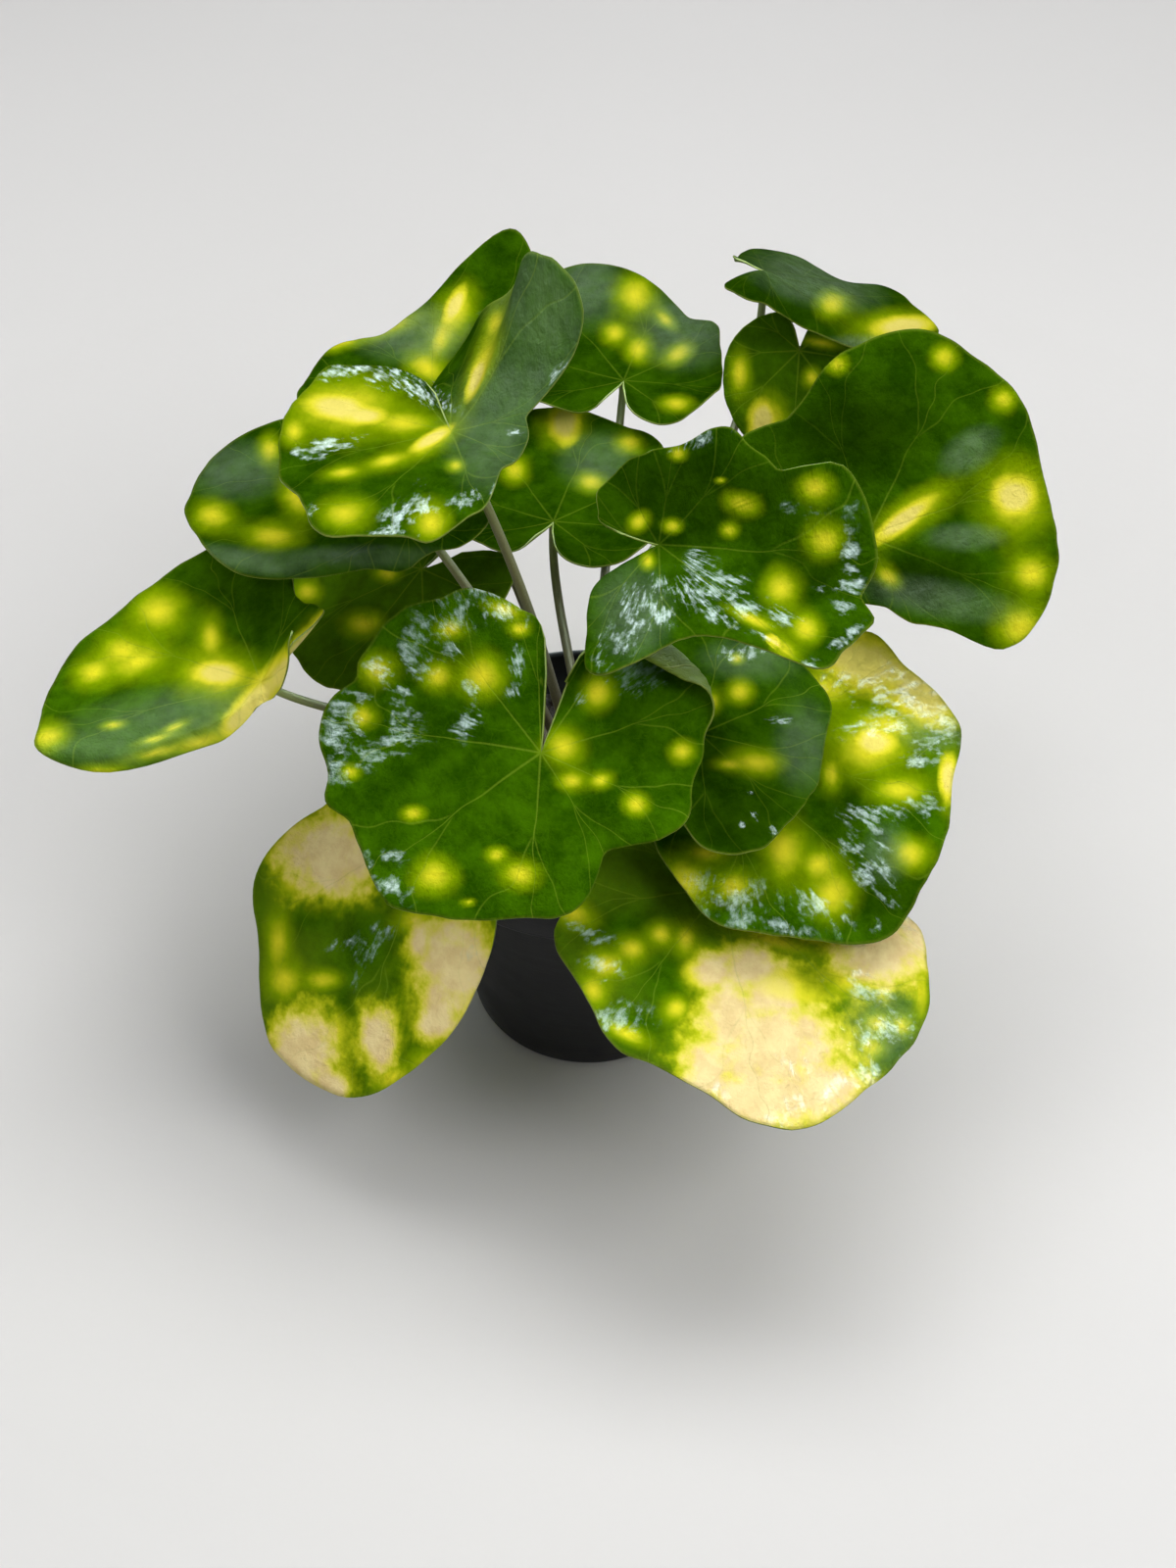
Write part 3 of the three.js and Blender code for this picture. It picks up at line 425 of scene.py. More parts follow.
    rise=[(-130, 0), (150, 0)], fold=[(-150, -0.4), (-110, -0.3), (-80, -0.2), (-45, -0.12), (-15, -0.08),
      (2, 0.02), (14, 0.28), (28, 0.6), (60, 0.85), (95, 0.85), (125, 0.7), (150, 0.45), (172, 0.2)],
    cup=1.25, wave=(1.2, 7, 30), bend=(2, 4, 158), hole=(INNER, 18), tone=0.22,
    spots=[(652, 532, 16, 12, -40), (686, 537, 13, 10), (692, 463, 12, 10), (757, 514, 24, 15, 15),
      (744, 541, 12, 11), (832, 497, 25, 20), (842, 551, 26, 24), (797, 600, 24, 27), (822, 641, 22, 20),
      (800, 662, 24, 14, 45), (768, 632, 34, 9, 25), (735, 490, 7, 4), (661, 573, 10, 12)],
    creams=[(790, 655, 10, 6, 45)],
    shine=[(668, 600, 12, 10), (652, 606, 22, 14, -40), (640, 640, 34, 18, -50), (672, 625, 22, 14),
      (614, 676, 8, 7), (628, 662, 10, 18, 35), (712, 574, 12, 12, 40), (722, 570, 8, 6), (735, 590, 24, 8),
      (746, 592, 8, 6), (712, 590, 12, 14), (718, 615, 26, 9, 38), (745, 606, 30, 7, 10),
      (766, 620, 30, 8, 20), (785, 625, 30, 7, 12), (868, 522, 12, 14), (866, 560, 10, 30),
      (862, 596, 22, 8), (868, 619, 14, 10), (862, 652, 22, 6, -42), (826, 682, 22, 7, -25),
      (722, 447, 34, 6, -18), (820, 520, 22, 7, 10), (845, 600, 10, 6), (748, 637, 40, 6, 22)],
    painted_sheen=[(645, 625, 40, 50)],
    dark=[(700, 500, 110, 52), (830, 580, 50, 30), (665, 548, 46, 14, 8)]),
  dict(name="far_right", joint=(77, 25, 163), heading=20, pitch=10, roll=38,
    reach=[(-155, 18), (-100, 20), (-86, 26), (-70, 34), (-60, 49), (-36, 54), (0, 55), (45, 63), (75, 52),
      (100, 40), (125, 44), (150, 40)],
    rise=[(-150, 2), (0, -3), (150, 2)], wave=(1.4, 7, 0), hole=(OUTER, 20), tone=0.32,
    spots=[(1037, 508, 48, 50), (1052, 585, 30, 26), (1042, 640, 36, 32), (1024, 407, 18, 16),
      (964, 364, 18, 17), (854, 372, 15, 14), (906, 588, 13, 20, -50), (930, 524, 60, 22, -34)],
    creams=[(1035, 506, 23, 22), (922, 530, 38, 10, -36)],
    painted_sheen=[(990, 460, 34, 20, -35), (985, 548, 40, 14), (960, 612, 80, 20, 10)],
    dark=[(860, 440, 80, 50), (930, 590, 60, 26)]),
  dict(name="folded_back", joint=(53, 122, 187), heading=0, pitch=-18, roll=-22, notch=(40, 36),
    reach=[(-140, 26), (-124, 22), (-108, 25), (-92, 20.5), (-76, 19), (-60, 26), (-44, 33), (-36, 36),
      (-28, 42), (-12, 52), (-4, 58), (6, 50), (14, 49), (30, 46), (50, 42), (68, 40), (84, 36), (92, 29),
      (108, 17), (130, 13), (144, 16)],
    rise=[(-150, 0), (150, 0)], fold=[(-150, -0.2), (-90, -0.35), (-40, -0.35), (0, 0), (40, 0.05),
      (90, 0.02), (130, -0.05)], cup=2, wave=(1.2, 6, 0), bend=(56, 118, 126), hole=(OUTER, 58), tone=0.6,
    spots=[(850, 310, 22, 18), (912, 334, 52, 22, -5)],
    creams=[(922, 333, 34, 11, -5)],
    painted_sheen=[(890, 352, 50, 10), (830, 285, 70, 26, 15)]),
  dict(name="tucked_back", joint=(64, 108, 168), heading=-95, pitch=-50, notch=(20, 20),
    reach=[(-150, 14), (-90, 21), (-45, 28), (0, 33), (45, 27), (90, 20), (150, 14)],
    rise=[(-150, 2), (0, -2), (150, 2)], wave=(1.2, 6, 0), bend=(84, 138, 122), hole=(OUTER, 39),
    tone=-0.15,
    spots=[(838, 350, 26, 8, 10), (785, 425, 24, 30), (828, 385, 12, 14), (755, 380, 14, 30)],
    creams=[(778, 430, 14, 22)]),
  dict(name="back", joint=(11, 107, 158), heading=75, pitch=5,
    reach=[(-155, 24), (-110, 28), (-75, 30), (-50, 33), (-32, 39), (-18, 38), (0, 47), (35, 60), (70, 50),
      (110, 36), (155, 26)],
    rise=[(-150, 3), (0, 0), (150, 3)], wave=(1.6, 6, 0), hole=(OUTER, 85), tone=0.4,
    spots=[(648, 301, 28, 28, -20), (627, 340, 18, 15), (651, 356, 18, 18), (692, 361, 22, 13, -30),
      (690, 412, 22, 12), (678, 325, 18, 9, 40)],
    painted_sheen=[(600, 290, 30, 40), (700, 335, 50, 40)]),
  dict(name="back_left", joint=(-47, 98, 164), heading=135,
    reach=[(-155, 32), (-110, 40), (-80, 54), (-64, 68), (-54, 50), (-35, 34), (0, 32), (40, 38), (80, 42),
      (120, 40), (155, 30)],
    rise=[(-150, 3), (-90, 6), (-64, 14), (-40, 4), (0, 0), (150, 3)], wave=(1.4, 7, 0), hole=(OUTER, 115),
    tone=0.35,
    spots=[(466, 318, 22, 38, 25), (390, 332, 50, 16, -15), (345, 350, 40, 10, -15), (435, 375, 28, 20, 30),
      (450, 345, 14, 30, 20)],
    creams=[(464, 312, 9, 22, 25)],
    painted_sheen=[(420, 340, 60, 30)]),
  dict(name="centre_back", joint=(-10, 52, 147), heading=75, pitch=4,
    reach=[(-155, 24), (-110, 30), (-60, 38), (-20, 48), (10, 50), (40, 46), (80, 34), (120, 28),
      (155, 24)],
    rise=[(-150, 4), (0, 0), (150, 4)], wave=(1.2, 6, 0), hole=(INNER, 90), tone=0.3,
    spots=[(574, 428, 30, 34, 20), (642, 452, 19, 15), (603, 492, 20, 14), (525, 480, 18, 18)],
    creams=[(576, 431, 16, 22)],
    painted_sheen=[(610, 470, 40, 30)]),
]


def along(pairs, angle):
    """Smooth value at an angle from (angle, value) pairs in rising order."""
    last = len(pairs) - 1
    if angle <= pairs[0][0]:
        return pairs[0][1]
    if angle >= pairs[last][0]:
        return pairs[last][1]
    i = 0
    while angle > pairs[i + 1][0]:
        i += 1

    def slope(k):
        if k <= 0 or k >= last:
            return 0
        return (pairs[k + 1][1] - pairs[k - 1][1]) / (pairs[k + 1][0] - pairs[k - 1][0])

    (a0, v0), (a1, v1) = pairs[i], pairs[i + 1]
    w = a1 - a0
    t = (angle - a0) / w
    return (v0 * (1 + 2 * t) * (1 - t) ** 2 + slope(i) * w * t * (1 - t) ** 2
            + v1 * t * t * (3 - 2 * t) + slope(i + 1) * w * t * t * (t - 1))


def leaf_axes(leaf):
    heading, pitch, roll = (math.radians(leaf.get(key, 0)) for key in ("heading", "pitch", "roll"))
    rib = Vector((math.cos(heading) * math.cos(pitch), math.sin(heading) * math.cos(pitch), math.sin(pitch)))
    flat_side = Vector((-math.sin(heading), math.cos(heading), 0))
    flat_up = rib.cross(flat_side)
    side = flat_side * math.cos(roll) + flat_up * math.sin(roll)
    up = flat_up * math.cos(roll) - flat_side * math.sin(roll)
    return rib, side, up


def blade_point(leaf, axes, seed, angle, share):
    """Point of the upper face in mm, and its place on the flat leaf."""
    end = 180 - leaf.get("notch", NOTCH)[1 if angle > 0 else 0]
    late = min(1, max(0, (abs(angle) - end + LOBE_ROUND) / LOBE_ROUND))
    edge = along(leaf["reach"], angle) * (NOTCH_START + (1 - NOTCH_START) * math.sqrt(1 - late * late))
    a = math.radians(angle)
    wobble = (0.5 * noise.noise(Vector((math.cos(a) * 3.2, math.sin(a) * 3.2, seed * 7.3)))
              + 0.22 * noise.noise(Vector((math.cos(a) * 9.5, math.sin(a) * 9.5, seed * 3.1))))
    edge *= 1 + SCALLOP * wobble * (1 - late)
    swell, count, phase = leaf["wave"]
    out = edge * share
    slope = along(leaf["fold"], angle) if "fold" in leaf else 0
    lift = ((along(leaf["rise"], angle) + edge * slope) * share ** leaf.get("cup", CUP)
            + swell * math.sin(math.radians(count * angle + phase)) * share * share)
    puff = math.sin(math.pi * (angle / VEIN_STEP)) ** 2
    lift += PUFF * (puff - 0.35) * share * (1 - 0.45 * share) * min(1.0, edge / 40)
    lift += DIMPLE * share * noise.noise(Vector((out * math.cos(a), out * math.sin(a), seed * 50)) * 0.07)
    for roll in leaf.get("curls", []):
        off = (angle - roll["at"]) / roll["wide"]
        if abs(off) >= 0.98:
            continue
        strength = math.cos(off * math.pi / 2) ** 2
        start = 1 - (1 - roll["begin"]) * strength
        if share <= start:
            continue
        turn = math.radians(roll["turn"]) * min(1, 1.6 * strength)
        bent = (1 - start) * 0.4
        bend = turn / (bent * edge)
        run = min(share - start, bent) * edge
        rest = max(0, share - start - bent) * edge
        out += math.sin(bend * run) / bend + math.cos(turn) * rest - (share - start) * edge
        lift += (1 - math.cos(bend * run)) / bend + math.sin(turn) * rest
    rib, side, up = axes
    point = Vector(leaf["joint"]) + rib * (out * math.cos(a)) + side * (out * math.sin(a)) + up * lift
    return point, Vector((edge * share * math.cos(a), edge * share * math.sin(a)))


def to_pixel(point):
    """Pixel of the photograph where a point in mm shows, and its depth."""
    ray = point - CAMERA
    depth = ray.y * math.cos(LOOK_DOWN) - ray.z * math.sin(LOOK_DOWN)
    high = ray.y * math.sin(LOOK_DOWN) + ray.z * math.cos(LOOK_DOWN)
    return PHOTO_WIDE / 2 + VIEW_PIXELS * ray.x / depth, PHOTO_HIGH / 2 - VIEW_PIXELS * high / depth, depth


def nearest(points, px, py):
    """Number of the mesh point that shows nearest to a pixel."""
    best, found = None, 0
    for k, point in enumerate(points):
        x, y, _ = to_pixel(point)
        off = (x - px) ** 2 + (y - py) ** 2
        if best is None or off < best:
            best, found = off, k
    return found


def spoke_number(leaf, angle):
    """Whole numbers at the main veins, and smooth values between them."""
    ribs = leaf.get("ribs")
    if not ribs:
        return angle / VEIN_STEP
    if angle <= ribs[0]:
        return (angle - ribs[0]) / VEIN_STEP
    for k in range(len(ribs) - 1):
        if angle <= ribs[k + 1]:
            return k + (angle - ribs[k]) / (ribs[k + 1] - ribs[k])
    return len(ribs) - 1 + (angle - ribs[-1]) / VEIN_STEP


def merged(seen, hidden, point, place, power):
    """1 in the middle of a mark, 0 at its rim and less outside it, where near marks run together.

    A seen mark is an ellipse in the photograph. A hidden one is a circle on the flat leaf."""
    x, y, depth = to_pixel(point)
    total = 0.0
    for px, py, wide, high, turn, at in seen:
        reach = 2.2 * max(wide, high) * depth / VIEW_PIXELS
        gap = (point - at).length
        if gap < 3 * reach:
            along_x = ((x - px) * math.cos(turn) + (y - py) * math.sin(turn)) / wide
            along_y = ((y - py) * math.cos(turn) - (x - px) * math.sin(turn)) / high
            total += max(0.03, math.hypot(along_x, along_y), gap / reach) ** -power
    for at, far in hidden:
        gap = (place - at).length / far
        if gap < 6:
            total += max(0.03, gap) ** -power
    return max(-2.0, 1 - total ** (-1 / power)) if total else -2.0


# Masks for the pattern: soft yellow halo, yellow heart and cream, from values that the mesh carries.
# Torn says how ragged the rim of the cream is.
pattern, given, out = new_group(
    "Leaf pattern", [("Plan", "Vector"), ("Spot", "Float"), ("Cream", "Float"), ("Torn", "Float")],
    [("Halo", "Float"), ("Heart", "Float"), ("Cream", "Float")])
wide = swing(pattern, given["Plan"], 14, 2)
fine = swing(pattern, given["Plan"], 90, 3, 0.6)
drift = maths(pattern, "MULTIPLY_ADD", wide, 0.36, times(pattern, fine, 0.1))
spot = maths(pattern, "ADD", given["Spot"], drift)
blotch = swing(pattern, given["Plan"], 20, 3)
cream = maths(pattern, "MULTIPLY_ADD", blotch, given["Torn"], maths(pattern, "ADD", given["Cream"], drift))
halo = maths(pattern, "MAXIMUM", fade(pattern, spot, -0.2, 0.65), fade(pattern, cream, -0.5, 0.15))
heart = maths(pattern, "MAXIMUM", fade(pattern, spot, 0.3, 1.05), fade(pattern, cream, -0.3, 0.3))
pattern.links.new(halo, out["Halo"])
pattern.links.new(heart, out["Heart"])
pattern.links.new(fade(pattern, cream, -0.05, 0.6), out["Cream"])

# Shine comes in broken patches with a ragged rim, where a clear coat mirrors the gloss panel and a painted
# highlight tints the colour pale. Its flecks are drawn out along the spokes. The sheen marks are painted
# sheen: a pale tint and a faint coat.
gloss, given, out = new_group(
    "Leaf shine",
    [("Plan", "Vector"), ("Spoke", "Float"), ("Share", "Float"), ("Shine", "Float"), ("PaintedSheenMarks", "Float")],
    [("GlossAndHighlight", "Float"), ("PaintedSheen", "Float")])
fan = node(gloss, "ShaderNodeCombineXYZ",
           {0: times(gloss, given["Spoke"], 16.0), 1: times(gloss, given["Share"], 9.0)}).outputs[0]
broken = times(gloss, given["Shine"], 0.7)
for swung, strength in ((swing(gloss, fan, 1, 4, 0.6), 4.0), (swing(gloss, given["Plan"], 17, 2), 3.0),
                        (swing(gloss, given["Plan"], 60, 4, 0.62), 1.6)):
    broken = maths(gloss, "MULTIPLY_ADD", swung, strength, broken)
painted_veil = times(gloss, fade(gloss, given["PaintedSheenMarks"], -0.3, 0.7),
             fade(gloss, grain(gloss, given["Plan"], 22, 3), 0.2, 0.8, 0.5, 1.0))
film = times(gloss, fade(gloss, given["Shine"], -0.5, 0.2), fade(gloss, broken, 0.0, 1.35))
gloss.links.new(painted_veil, out["PaintedSheen"])
gloss.links.new(maths(gloss, "MAXIMUM", film, times(gloss, painted_veil, 0.04)), out["GlossAndHighlight"])

# Main veins lie where Spoke is a whole number and fork half way out. Their net is finer cells.
veins, given, out = new_group("Leaf veins", [("Plan", "Vector"), ("Spoke", "Float"), ("Share", "Float")],
                              [("Line", "Float"), ("Net", "Float"), ("Height", "Float")])
bend = swing(veins, given["Plan"], 7, 1)
spoke = maths(veins, "MULTIPLY_ADD", times(veins, bend, 0.34), given["Share"], given["Spoke"])
from_vein = maths(veins, "ABSOLUTE",
                  maths(veins, "SUBTRACT", maths(veins, "FRACT", maths(veins, "ADD", spoke, 8.5)), 0.5))
radius = node(veins, "ShaderNodeVectorMath", {0: given["Plan"]}, operation="LENGTH").outputs["Value"]
spread = times(veins, radius, 100 * math.radians(VEIN_STEP))
beyond = maths(veins, "MAXIMUM", maths(veins, "SUBTRACT", given["Share"], 0.5), 0.0)
trunk = times(veins, from_vein, spread)
fork = times(veins, maths(veins, "ABSOLUTE", maths(veins, "SUBTRACT", from_vein, times(veins, beyond, 0.7))),
             spread)
trunk_half = fade(veins, given["Share"], 0.0, 0.7, 0.3, 0.12)
trunk_line = fade(veins, maths(veins, "DIVIDE", trunk, trunk_half), 1.5, 0.4)
fork_line = times(veins, fade(veins, fork, 0.34, 0.08), fade(veins, given["Share"], 0.5, 0.56, 0.0, 0.7))
stir = node(veins, "ShaderNodeTexNoise", {"Vector": given["Plan"], "Scale": 20.0}).outputs[1]
pushed = node(veins, "ShaderNodeVectorMath", {0: given["Plan"], 1: stir, 2: (0.04, 0.04, 0.0)},
              operation="MULTIPLY_ADD").outputs[0]
cells, small = (node(veins, "ShaderNodeTexVoronoi", {"Vector": pushed, "Scale": scale},
                     feature="DISTANCE_TO_EDGE").outputs["Distance"] for scale in (15.0, 48.0))
net = maths(veins, "MAXIMUM", fade(veins, cells, 0.05, 0.005),
            times(veins, fade(veins, small, 0.1, 0.02), 0.4))
line_mask = maths(veins, "MAXIMUM", trunk_line, fork_line)
veins.links.new(line_mask, out["Line"])
veins.links.new(net, out["Net"])
dome = maths(veins, "ADD", times(veins, fade(veins, cells, 0.0, 0.5), 0.16),
             times(veins, fade(veins, small, 0.0, 0.5), 0.05))
veins.links.new(maths(veins, "SUBTRACT", dome, times(veins, line_mask, 0.12)), out["Height"])


def leaf_inputs(tree):
    plan = node(tree, "ShaderNodeUVMap", uv_map="plan").outputs[0]
    spoke = node(tree, "ShaderNodeSeparateXYZ",
                 {0: node(tree, "ShaderNodeUVMap", uv_map="spoke").outputs[0]}).outputs
    tone = field(tree, "tone")
    old = fade(tree, tone, -0.35, -0.1, 1.0, 0.0)
    marks = use_group(tree, pattern, {
        "Plan": plan, "Spot": field(tree, "spot"), "Cream": field(tree, "cream"),
        "Torn": maths(tree, "MULTIPLY_ADD", old, 0.8, 0.2)})
    lines = use_group(tree, veins, {"Plan": plan, "Spoke": spoke[0], "Share": spoke[1]})
    return plan, spoke[0], spoke[1], tone, old, marks, lines


leaf_top, tree, shader = new_material("leaf_upper_face", IOR=1.5, Roughness=0.6, Specular_IOR_Level=0.0,
                                      Coat_Roughness=0.1, Coat_IOR=1.5)
plan, spoke, share, tone, old, marks, lines = leaf_inputs(tree)
cloud = grain(tree, plan, 9, 4, 0.6)
green = blend(tree, fade(tree, cloud, 0.3, 0.7), linear(34, 72, 0), linear(64, 108, 2))
# Painted shade: a positive tone darkens the green of leaves that lie in shade; a negative tone, which also
# marks old leaves, makes the green paler.
green = blend(tree, times(tree, tone, 0.75), green, linear(14, 34, 0))
green = blend(tree, times(tree, tone, -0.8), green, linear(116, 146, 24))
faint = fade(tree, tone, 0.0, 0.8, 1.0, 0.3)
green = blend(tree, times(tree, times(tree, lines["Net"], faint), 0.14), green, linear(84, 132, 16))
colour = blend(tree, times(tree, marks["Halo"], 0.85), green, linear(146, 176, 2))
colour = blend(tree, marks["Heart"], colour, linear(236, 228, 44))
# Old leaves have full cream patches with a torn rim, young ones only soft yellow ones.
aged = blend(tree, fade(tree, grain(tree, plan, 16, 4, 0.6), 0.35, 0.65),
             linear(250, 230, 166), linear(238, 212, 148))
pale = blend(tree, old, linear(248, 232, 120), aged)
soft = maths(tree, "POWER", marks["Cream"], maths(tree, "MULTIPLY_ADD", old, -1.2, 2.2))
colour = blend(tree, times(tree, soft, maths(tree, "MULTIPLY_ADD", old, 0.1, 0.9)), colour, pale)
line = times(tree, times(tree, lines["Line"], faint), fade(tree, marks["Heart"], 0.0, 1.0, 0.42, 0.1))
colour = blend(tree, line, colour, linear(128, 158, 40))
# Painted shade: the tone, raised by the dark marks, dims the whole colour.
colour = blend(tree, times(tree, tone, 1.1), colour, linear(188, 188, 196), "MULTIPLY")
colour = blend(tree, fade(tree, share, 0.982, 0.998, 0.0, 0.25), colour, linear(140, 160, 50))
skin = use_group(tree, gloss, {"Plan": plan, "Spoke": spoke, "Share": share,
                               "Shine": field(tree, "shine"), "PaintedSheenMarks": field(tree, "painted_sheen")})
# Painted sheen: a pale grey-green tint in the colour where the sheen marks lie.
colour = blend(tree, times(tree, skin["PaintedSheen"], 0.2), colour, linear(140, 164, 122))
# Painted highlight: a pale blue-green tint in the colour where the shine patches lie, over the coat's real
# gloss.
colour = blend(tree, times(tree, skin["GlossAndHighlight"], 0.2), colour, linear(176, 208, 210))
pucker = grain(tree, plan, 26, 3, 0.6)
speck = grain(tree, plan, 170, 4, 0.75)
rough_skin = maths(tree, "MULTIPLY_ADD", speck, 0.25, times(tree, pucker, 1.3))
puckered = surface(tree, shader, colour, maths(tree, "ADD", rough_skin, lines["Height"]))
tree.links.new(puckered, shader.inputs["Coat Normal"])
tree.links.new(skin["GlossAndHighlight"], shader.inputs["Coat Weight"])

leaf_under, tree, shader = new_material("leaf_lower_face", Roughness=0.6, Specular_IOR_Level=0.05)
plan, spoke, share, tone, old, marks, lines = leaf_inputs(tree)
olive = blend(tree, grain(tree, plan, 12, 4), linear(90, 116, 34), linear(124, 144, 60))
colour = blend(tree, times(tree, marks["Halo"], 0.5), olive, linear(146, 156, 42))
colour = blend(tree, times(tree, marks["Heart"], 0.75), colour, linear(204, 200, 82))
colour = blend(tree, times(tree, marks["Cream"], 0.85), colour, linear(228, 212, 150))
colour = blend(tree, times(tree, lines["Line"], 0.6), colour, linear(168, 174, 96))
surface(tree, shader, colour, times(tree, lines["Height"], -1.5))

leaf_edge, tree, shader = new_material("leaf_margin", Roughness=0.5, Specular_IOR_Level=0.1)
plan = node(tree, "ShaderNodeUVMap", uv_map="plan").outputs[0]
surface(tree, shader, blend(tree, grain(tree, plan, 40, 3), linear(72, 100, 20), linear(140, 152, 60)),
        times(tree, grain(tree, plan, 200, 2), 0.1))

# First the shapes of all blades, so that a hidden mark can be told from a seen one.
shaped = []
for number, leaf in enumerate(LEAVES):
    axes = leaf_axes(leaf)
    start, stop = leaf.get("notch", NOTCH)[0] - 180, 180 - leaf.get("notch", NOTCH)[1]
    bm = bmesh.new()
    bmesh.ops.create_grid(bm, x_segments=SPOKES, y_segments=RINGS, size=1)
    plan_uv = bm.loops.layers.uv.new("plan")
    spoke_uv = bm.loops.layers.uv.new("spoke")
    points, places, spokes = [], [], []
    for v in bm.verts:
        angle = stop - (stop - start) * (v.co.x + 1) / 2
        share = (v.co.y + 1) / 2
        point, place = blade_point(leaf, axes, number + 1, angle, share)
        points.append(point)
        places.append(place)
        spokes.append((spoke_number(leaf, angle), share))
    bm.verts.index_update()
    for v in bm.verts:
        v.co = points[v.index] / 1000
    for face in bm.faces:
        for loop in face.loops:
            loop[plan_uv].uv = places[loop.vert.index] / 100
            loop[spoke_uv].uv = spokes[loop.vert.index]
    shaped.append((leaf, bm, points, places))
all_blades = BVHTree.FromPolygons(
    [point for _, _, points, _ in shaped for point in points],
    [[v.index + k * len(points) for v in face.verts]
     for k, (_, bm, points, _) in enumerate(shaped) for face in bm.faces])

for number, (leaf, bm, points, places) in enumerate(shaped):
    rng = random.Random(100 + number)
    seen = {}
    for kind in ("spots", "creams", "shine", "painted_sheen", "dark"):
        seen[kind] = [(px, py, wide, high, math.radians(sum(turn)), points[nearest(points, px, py)])
                      for px, py, wide, high, *turn in leaf.get(kind, [])]
    hidden = {kind: [] for kind in seen}
    bare = [place for point, place in zip(points[::5], places[::5]) if all_blades.ray_cast(
        CAMERA, (point - CAMERA).normalized(), (point - CAMERA).length - 1.5)[0] is None]
    for attempt in range(MARK_TRIES):
        k = rng.randrange(len(points))
        kind = "spots" if attempt % 2 else "shine"
        size = rng.uniform(*MARK_RADIUS)
        crowded = any((places[k] - at).length < size + far + 1 for at, far in hidden[kind])
        near_seen = any((points[k] - at).length < size + PIXEL * max(wide, high)
                        for _, _, wide, high, _, at in seen[kind])
        if not crowded and not near_seen and places[k].length > JOINT_CLEAR and all(
                (places[k] - place).length > size * 1.2 for place in bare):
            hidden[kind].append((places[k], size))
    for name, kind, power in (("spot", "spots", 4.0), ("cream", "creams", 5.0), ("shine", "shine", 4.0),
                              ("painted_sheen", "painted_sheen", 3.0)):
        layer = bm.verts.layers.float.new(name)
        for v in bm.verts:
            v[layer] = merged(seen[kind], hidden[kind], points[v.index], places[v.index], power)
    # Painted shade: the dark marks raise the tone where a blade lies in shade or in a crease; a few are
    # darker green streaks of the blade itself.
    layer = bm.verts.layers.float.new("tone")
    for v in bm.verts:
        shade = merged(seen["dark"], hidden["dark"], points[v.index], places[v.index], 3.0)
        v[layer] = leaf.get("tone", 0.0) + 0.45 * min(1.0, max(0.0, shade + 0.4))
    bmesh.ops.remove_doubles(bm, verts=bm.verts, dist=2e-6)
    piece = add_piece(leaf["name"] + "_leaf", bm, [leaf_top, leaf_under, leaf_edge], "leaf_blade",
                      leaf["name"] + "_blade")
    thick = piece.modifiers.new("thickness", "SOLIDIFY")
    thick.thickness, thick.offset = BLADE / 1000, -1
    thick.material_offset, thick.material_offset_rim = 1, 2


# Leaf stalks. Round fleshy stalks with a shallow groove, stouter at the foot, flared where they spread
# into the blade, olive above and flushed brown towards the soil, with fine pale down that dulls them.
STALK_SIDES = 20
STALK_STEPS = 60
STALK_FOOT, STALK_TOP = 1.6, 1.15
STALK_BEND = 4         # height over the mix at which a stalk starts to lean
STALK_DEPTH = 5

stalk_skin, tree, shader = new_material("stalk_skin", Roughness=0.5, Sheen_Weight=0.05, Sheen_Roughness=0.4)
place = node(tree, "ShaderNodeTexCoord").outputs["Object"]
wrapped = node(tree, "ShaderNodeUVMap", uv_map="stalk").outputs[0]
up_stalk = node(tree, "ShaderNodeSeparateXYZ", {0: wrapped}).outputs[1]
drawn_out = node(tree, "ShaderNodeMapping", {0: wrapped, "Scale": (9, 3, 1)}).outputs[0]
streaks = grain(tree, drawn_out, 3, 3)
flush = maths(tree, "ADD", up_stalk, maths(tree, "MULTIPLY_ADD", streaks, 0.5, -0.25))
skin = blend(tree, fade(tree, flush, 0.0, 0.75), linear(78, 62, 36), linear(98, 98, 50))
skin = blend(tree, fade(tree, flush, 0.7, 1.05), skin, linear(118, 134, 56))
down = fade(tree, grain(tree, place, 2600, 2), 0.55, 0.75, 0.0, 0.25)
surface(tree, shader, blend(tree, down, skin, linear(156, 152, 104)),
        maths(tree, "MULTIPLY_ADD", grain(tree, place, 2200, 2), 0.12, times(tree, streaks, 0.15)))

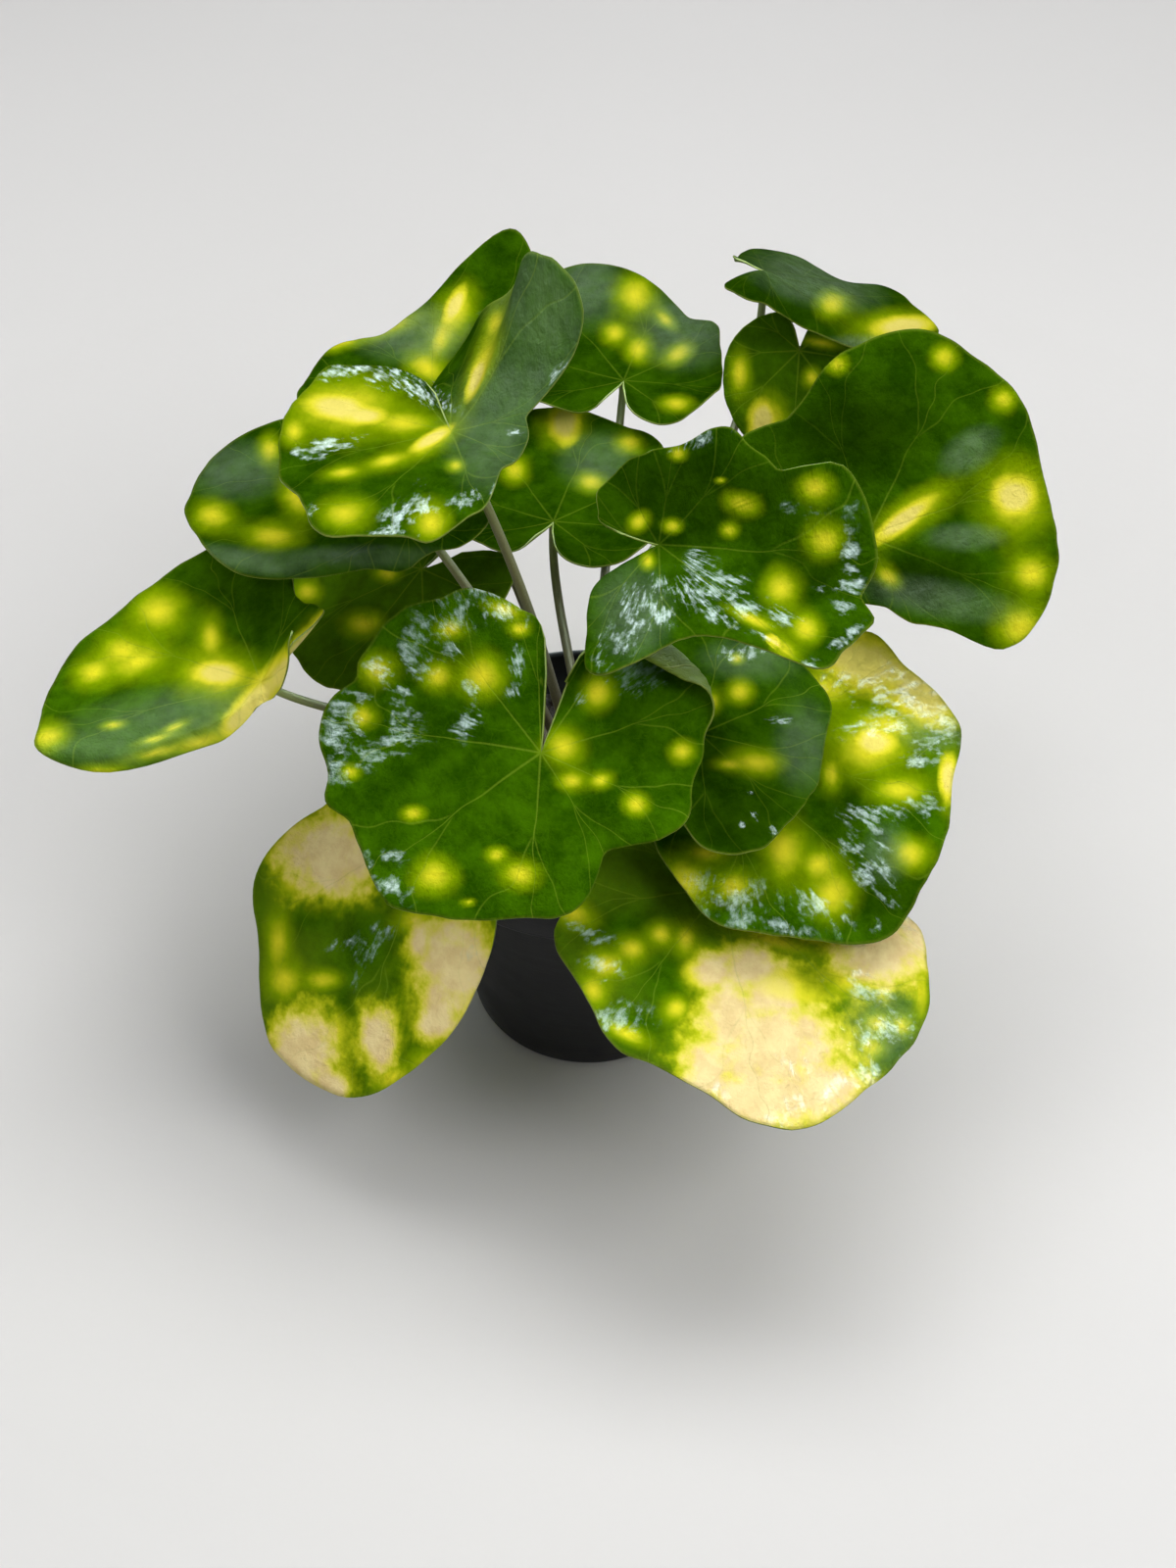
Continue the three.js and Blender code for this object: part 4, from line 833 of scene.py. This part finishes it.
for leaf in LEAVES:
    rib, side, up = leaf_axes(leaf)
    joint = Vector(leaf["joint"])
    ring, way = leaf["hole"][0], math.radians(leaf["hole"][1])
    start = Vector((ring * math.cos(way), ring * math.sin(way), SOIL_TOP + STALK_BEND))
    span = (joint - start).length
    lean = Vector((joint.x - start.x, joint.y - start.y, 0))
    below = (up + rib * 0.45).normalized()
    second = Vector(leaf["bend"]) if "bend" in leaf else joint - below * (span * 0.3)
    first = start + Vector((0, 0, span * 0.3)) + lean * 0.1
    top = joint - up * (BLADE * 0.8)
    path = [start - Vector((0, 0, STALK_BEND + STALK_DEPTH)), start - Vector((0, 0, STALK_BEND))]
    for k in range(STALK_STEPS + 1):
        t = k / STALK_STEPS
        path.append(start * (1 - t) ** 3 + first * 3 * t * (1 - t) ** 2
                    + second * 3 * t * t * (1 - t) + top * t ** 3)
    bm = bmesh.new()
    bmesh.ops.create_grid(bm, x_segments=STALK_SIDES, y_segments=len(path) - 1, size=1)
    stalk_uv = bm.loops.layers.uv.new("stalk")
    for face in bm.faces:
        for loop in face.loops:
            loop[stalk_uv].uv = ((loop.vert.co.x + 1) / 2, (loop.vert.co.y + 1) / 2)
    across, frames = Vector((1, 0, 0)), []
    for k in range(len(path)):
        ahead = up if k == len(path) - 1 else (path[k + 1] - path[max(k - 1, 0)]).normalized()
        across = (across - ahead * across.dot(ahead)).normalized()
        frames.append((across.copy(), ahead.cross(across)))
    for v in bm.verts:
        k = round((v.co.y + 1) / 2 * (len(path) - 1))
        t = k / (len(path) - 1)
        a = math.pi * (v.co.x + 1)
        radius = STALK_FOOT + (STALK_TOP - STALK_FOOT) * t + 0.35 * math.exp(-t * 14)
        radius += 0.5 * max(0.0, (t - 0.95) / 0.05) ** 2
        radius *= 1 + 0.05 * math.sin(5 * a + 3 * t) - 0.09 * max(0.0, math.cos(a - 1.2)) ** 6
        across, aside = frames[k]
        v.co = (path[k] + across * (radius * math.cos(a)) + aside * (radius * math.sin(a))) / 1000
    bmesh.ops.remove_doubles(bm, verts=bm.verts, dist=1e-6)
    bmesh.ops.holes_fill(bm, edges=[e for e in bm.edges if e.is_boundary], sides=0)
    bmesh.ops.recalc_face_normals(bm, faces=bm.faces)
    add_piece(leaf["name"] + "_petiole", bm, [stalk_skin], "leaf_stalk", leaf["name"] + "_stalk")


# Floor and light. A plain pale table that runs far back, a wide soft window above and behind the plant,
# weaker ones at the front and a faint even glow from above. A large cool panel lights nothing, but shows
# as the highlights in the glossy patches.
bpy.ops.mesh.primitive_plane_add(size=8, location=(0, 1, -0.0002))
floor = bpy.context.active_object
floor.name = "floor"
floor_paint, tree, shader = new_material("pale_floor", Roughness=0.8, Specular_IOR_Level=0.0)
place = node(tree, "ShaderNodeTexCoord").outputs["Object"]
surface(tree, shader, blend(tree, grain(tree, place, 2, 2), linear(212, 211, 209), linear(220, 219, 218)),
        times(tree, grain(tree, place, 120, 2), 0.1))
floor.data.materials.append(floor_paint)


def add_lamp(name, kind, power):
    light = bpy.data.lights.new(name, kind)
    light.energy = power
    lamp = bpy.data.objects.new(name, light)
    lamp.visible_glossy = False
    bpy.context.scene.collection.objects.link(lamp)
    return lamp


def soft_light(name, place, target, width, height, power):
    lamp = add_lamp(name, "AREA", power)
    lamp.data.shape, lamp.data.size, lamp.data.size_y = "RECTANGLE", width, height
    lamp.location = place
    lamp.rotation_euler = (Vector(target) - Vector(place)).to_track_quat("-Z", "Y").to_euler()
    return lamp


soft_light("skylight", (0.05, 0.38, 1.55), (0, 0, 0.12), 1.6, 0.7, 17.5)
highlight = soft_light("gloss", (0.0, 0.6, 1.6), (0, 0, 0.12), 4.6, 4.0, 1050)
highlight.data.color = 0.84, 0.99, 1.0
highlight.visible_glossy, highlight.visible_diffuse = True, False
add_lamp("ceiling_glow", "SUN", 0.35).data.angle = 1.3
soft_light("room_front", (0.0, -1.8, 1.4), (0, 0, 0.1), 3.0, 1.6, 2)
soft_light("room_right", (0.8, -0.62, 1.2), (0.1, 0, 0.12), 0.7, 0.7, 9.5)
soft_light("room_left", (-1.0, -0.6, 1.2), (-0.1, 0, 0.12), 0.8, 0.8, 3.5)
world = bpy.data.worlds.new("studio")
world.use_nodes = True
tree = world.node_tree
sky = tree.nodes["Background"]
sky.inputs[0].default_value = linear(228, 230, 234)
ray = node(tree, "ShaderNodeLightPath").outputs
seen = maths(tree, "MULTIPLY_ADD", ray["Is Camera Ray"], 0.56, 0.19)
tree.links.new(maths(tree, "MULTIPLY_ADD", ray["Is Glossy Ray"], -0.15, seen), sky.inputs[1])
bpy.context.scene.world = world

# Camera. The photograph looks down on the plant by 46 degrees from about 0.64 m.
bpy.context.scene.view_settings.view_transform = "Standard"
lens = bpy.data.cameras.new("camera")
lens.sensor_width = 36
lens.lens = lens.sensor_width * VIEW_PIXELS / PHOTO_HIGH
eye = bpy.data.objects.new("camera", lens)
eye.location = CAMERA / 1000
eye.rotation_euler = (math.radians(90) - LOOK_DOWN, 0, 0)
bpy.context.scene.collection.objects.link(eye)
bpy.context.scene.camera = eye

bpy.context.view_layer.update()
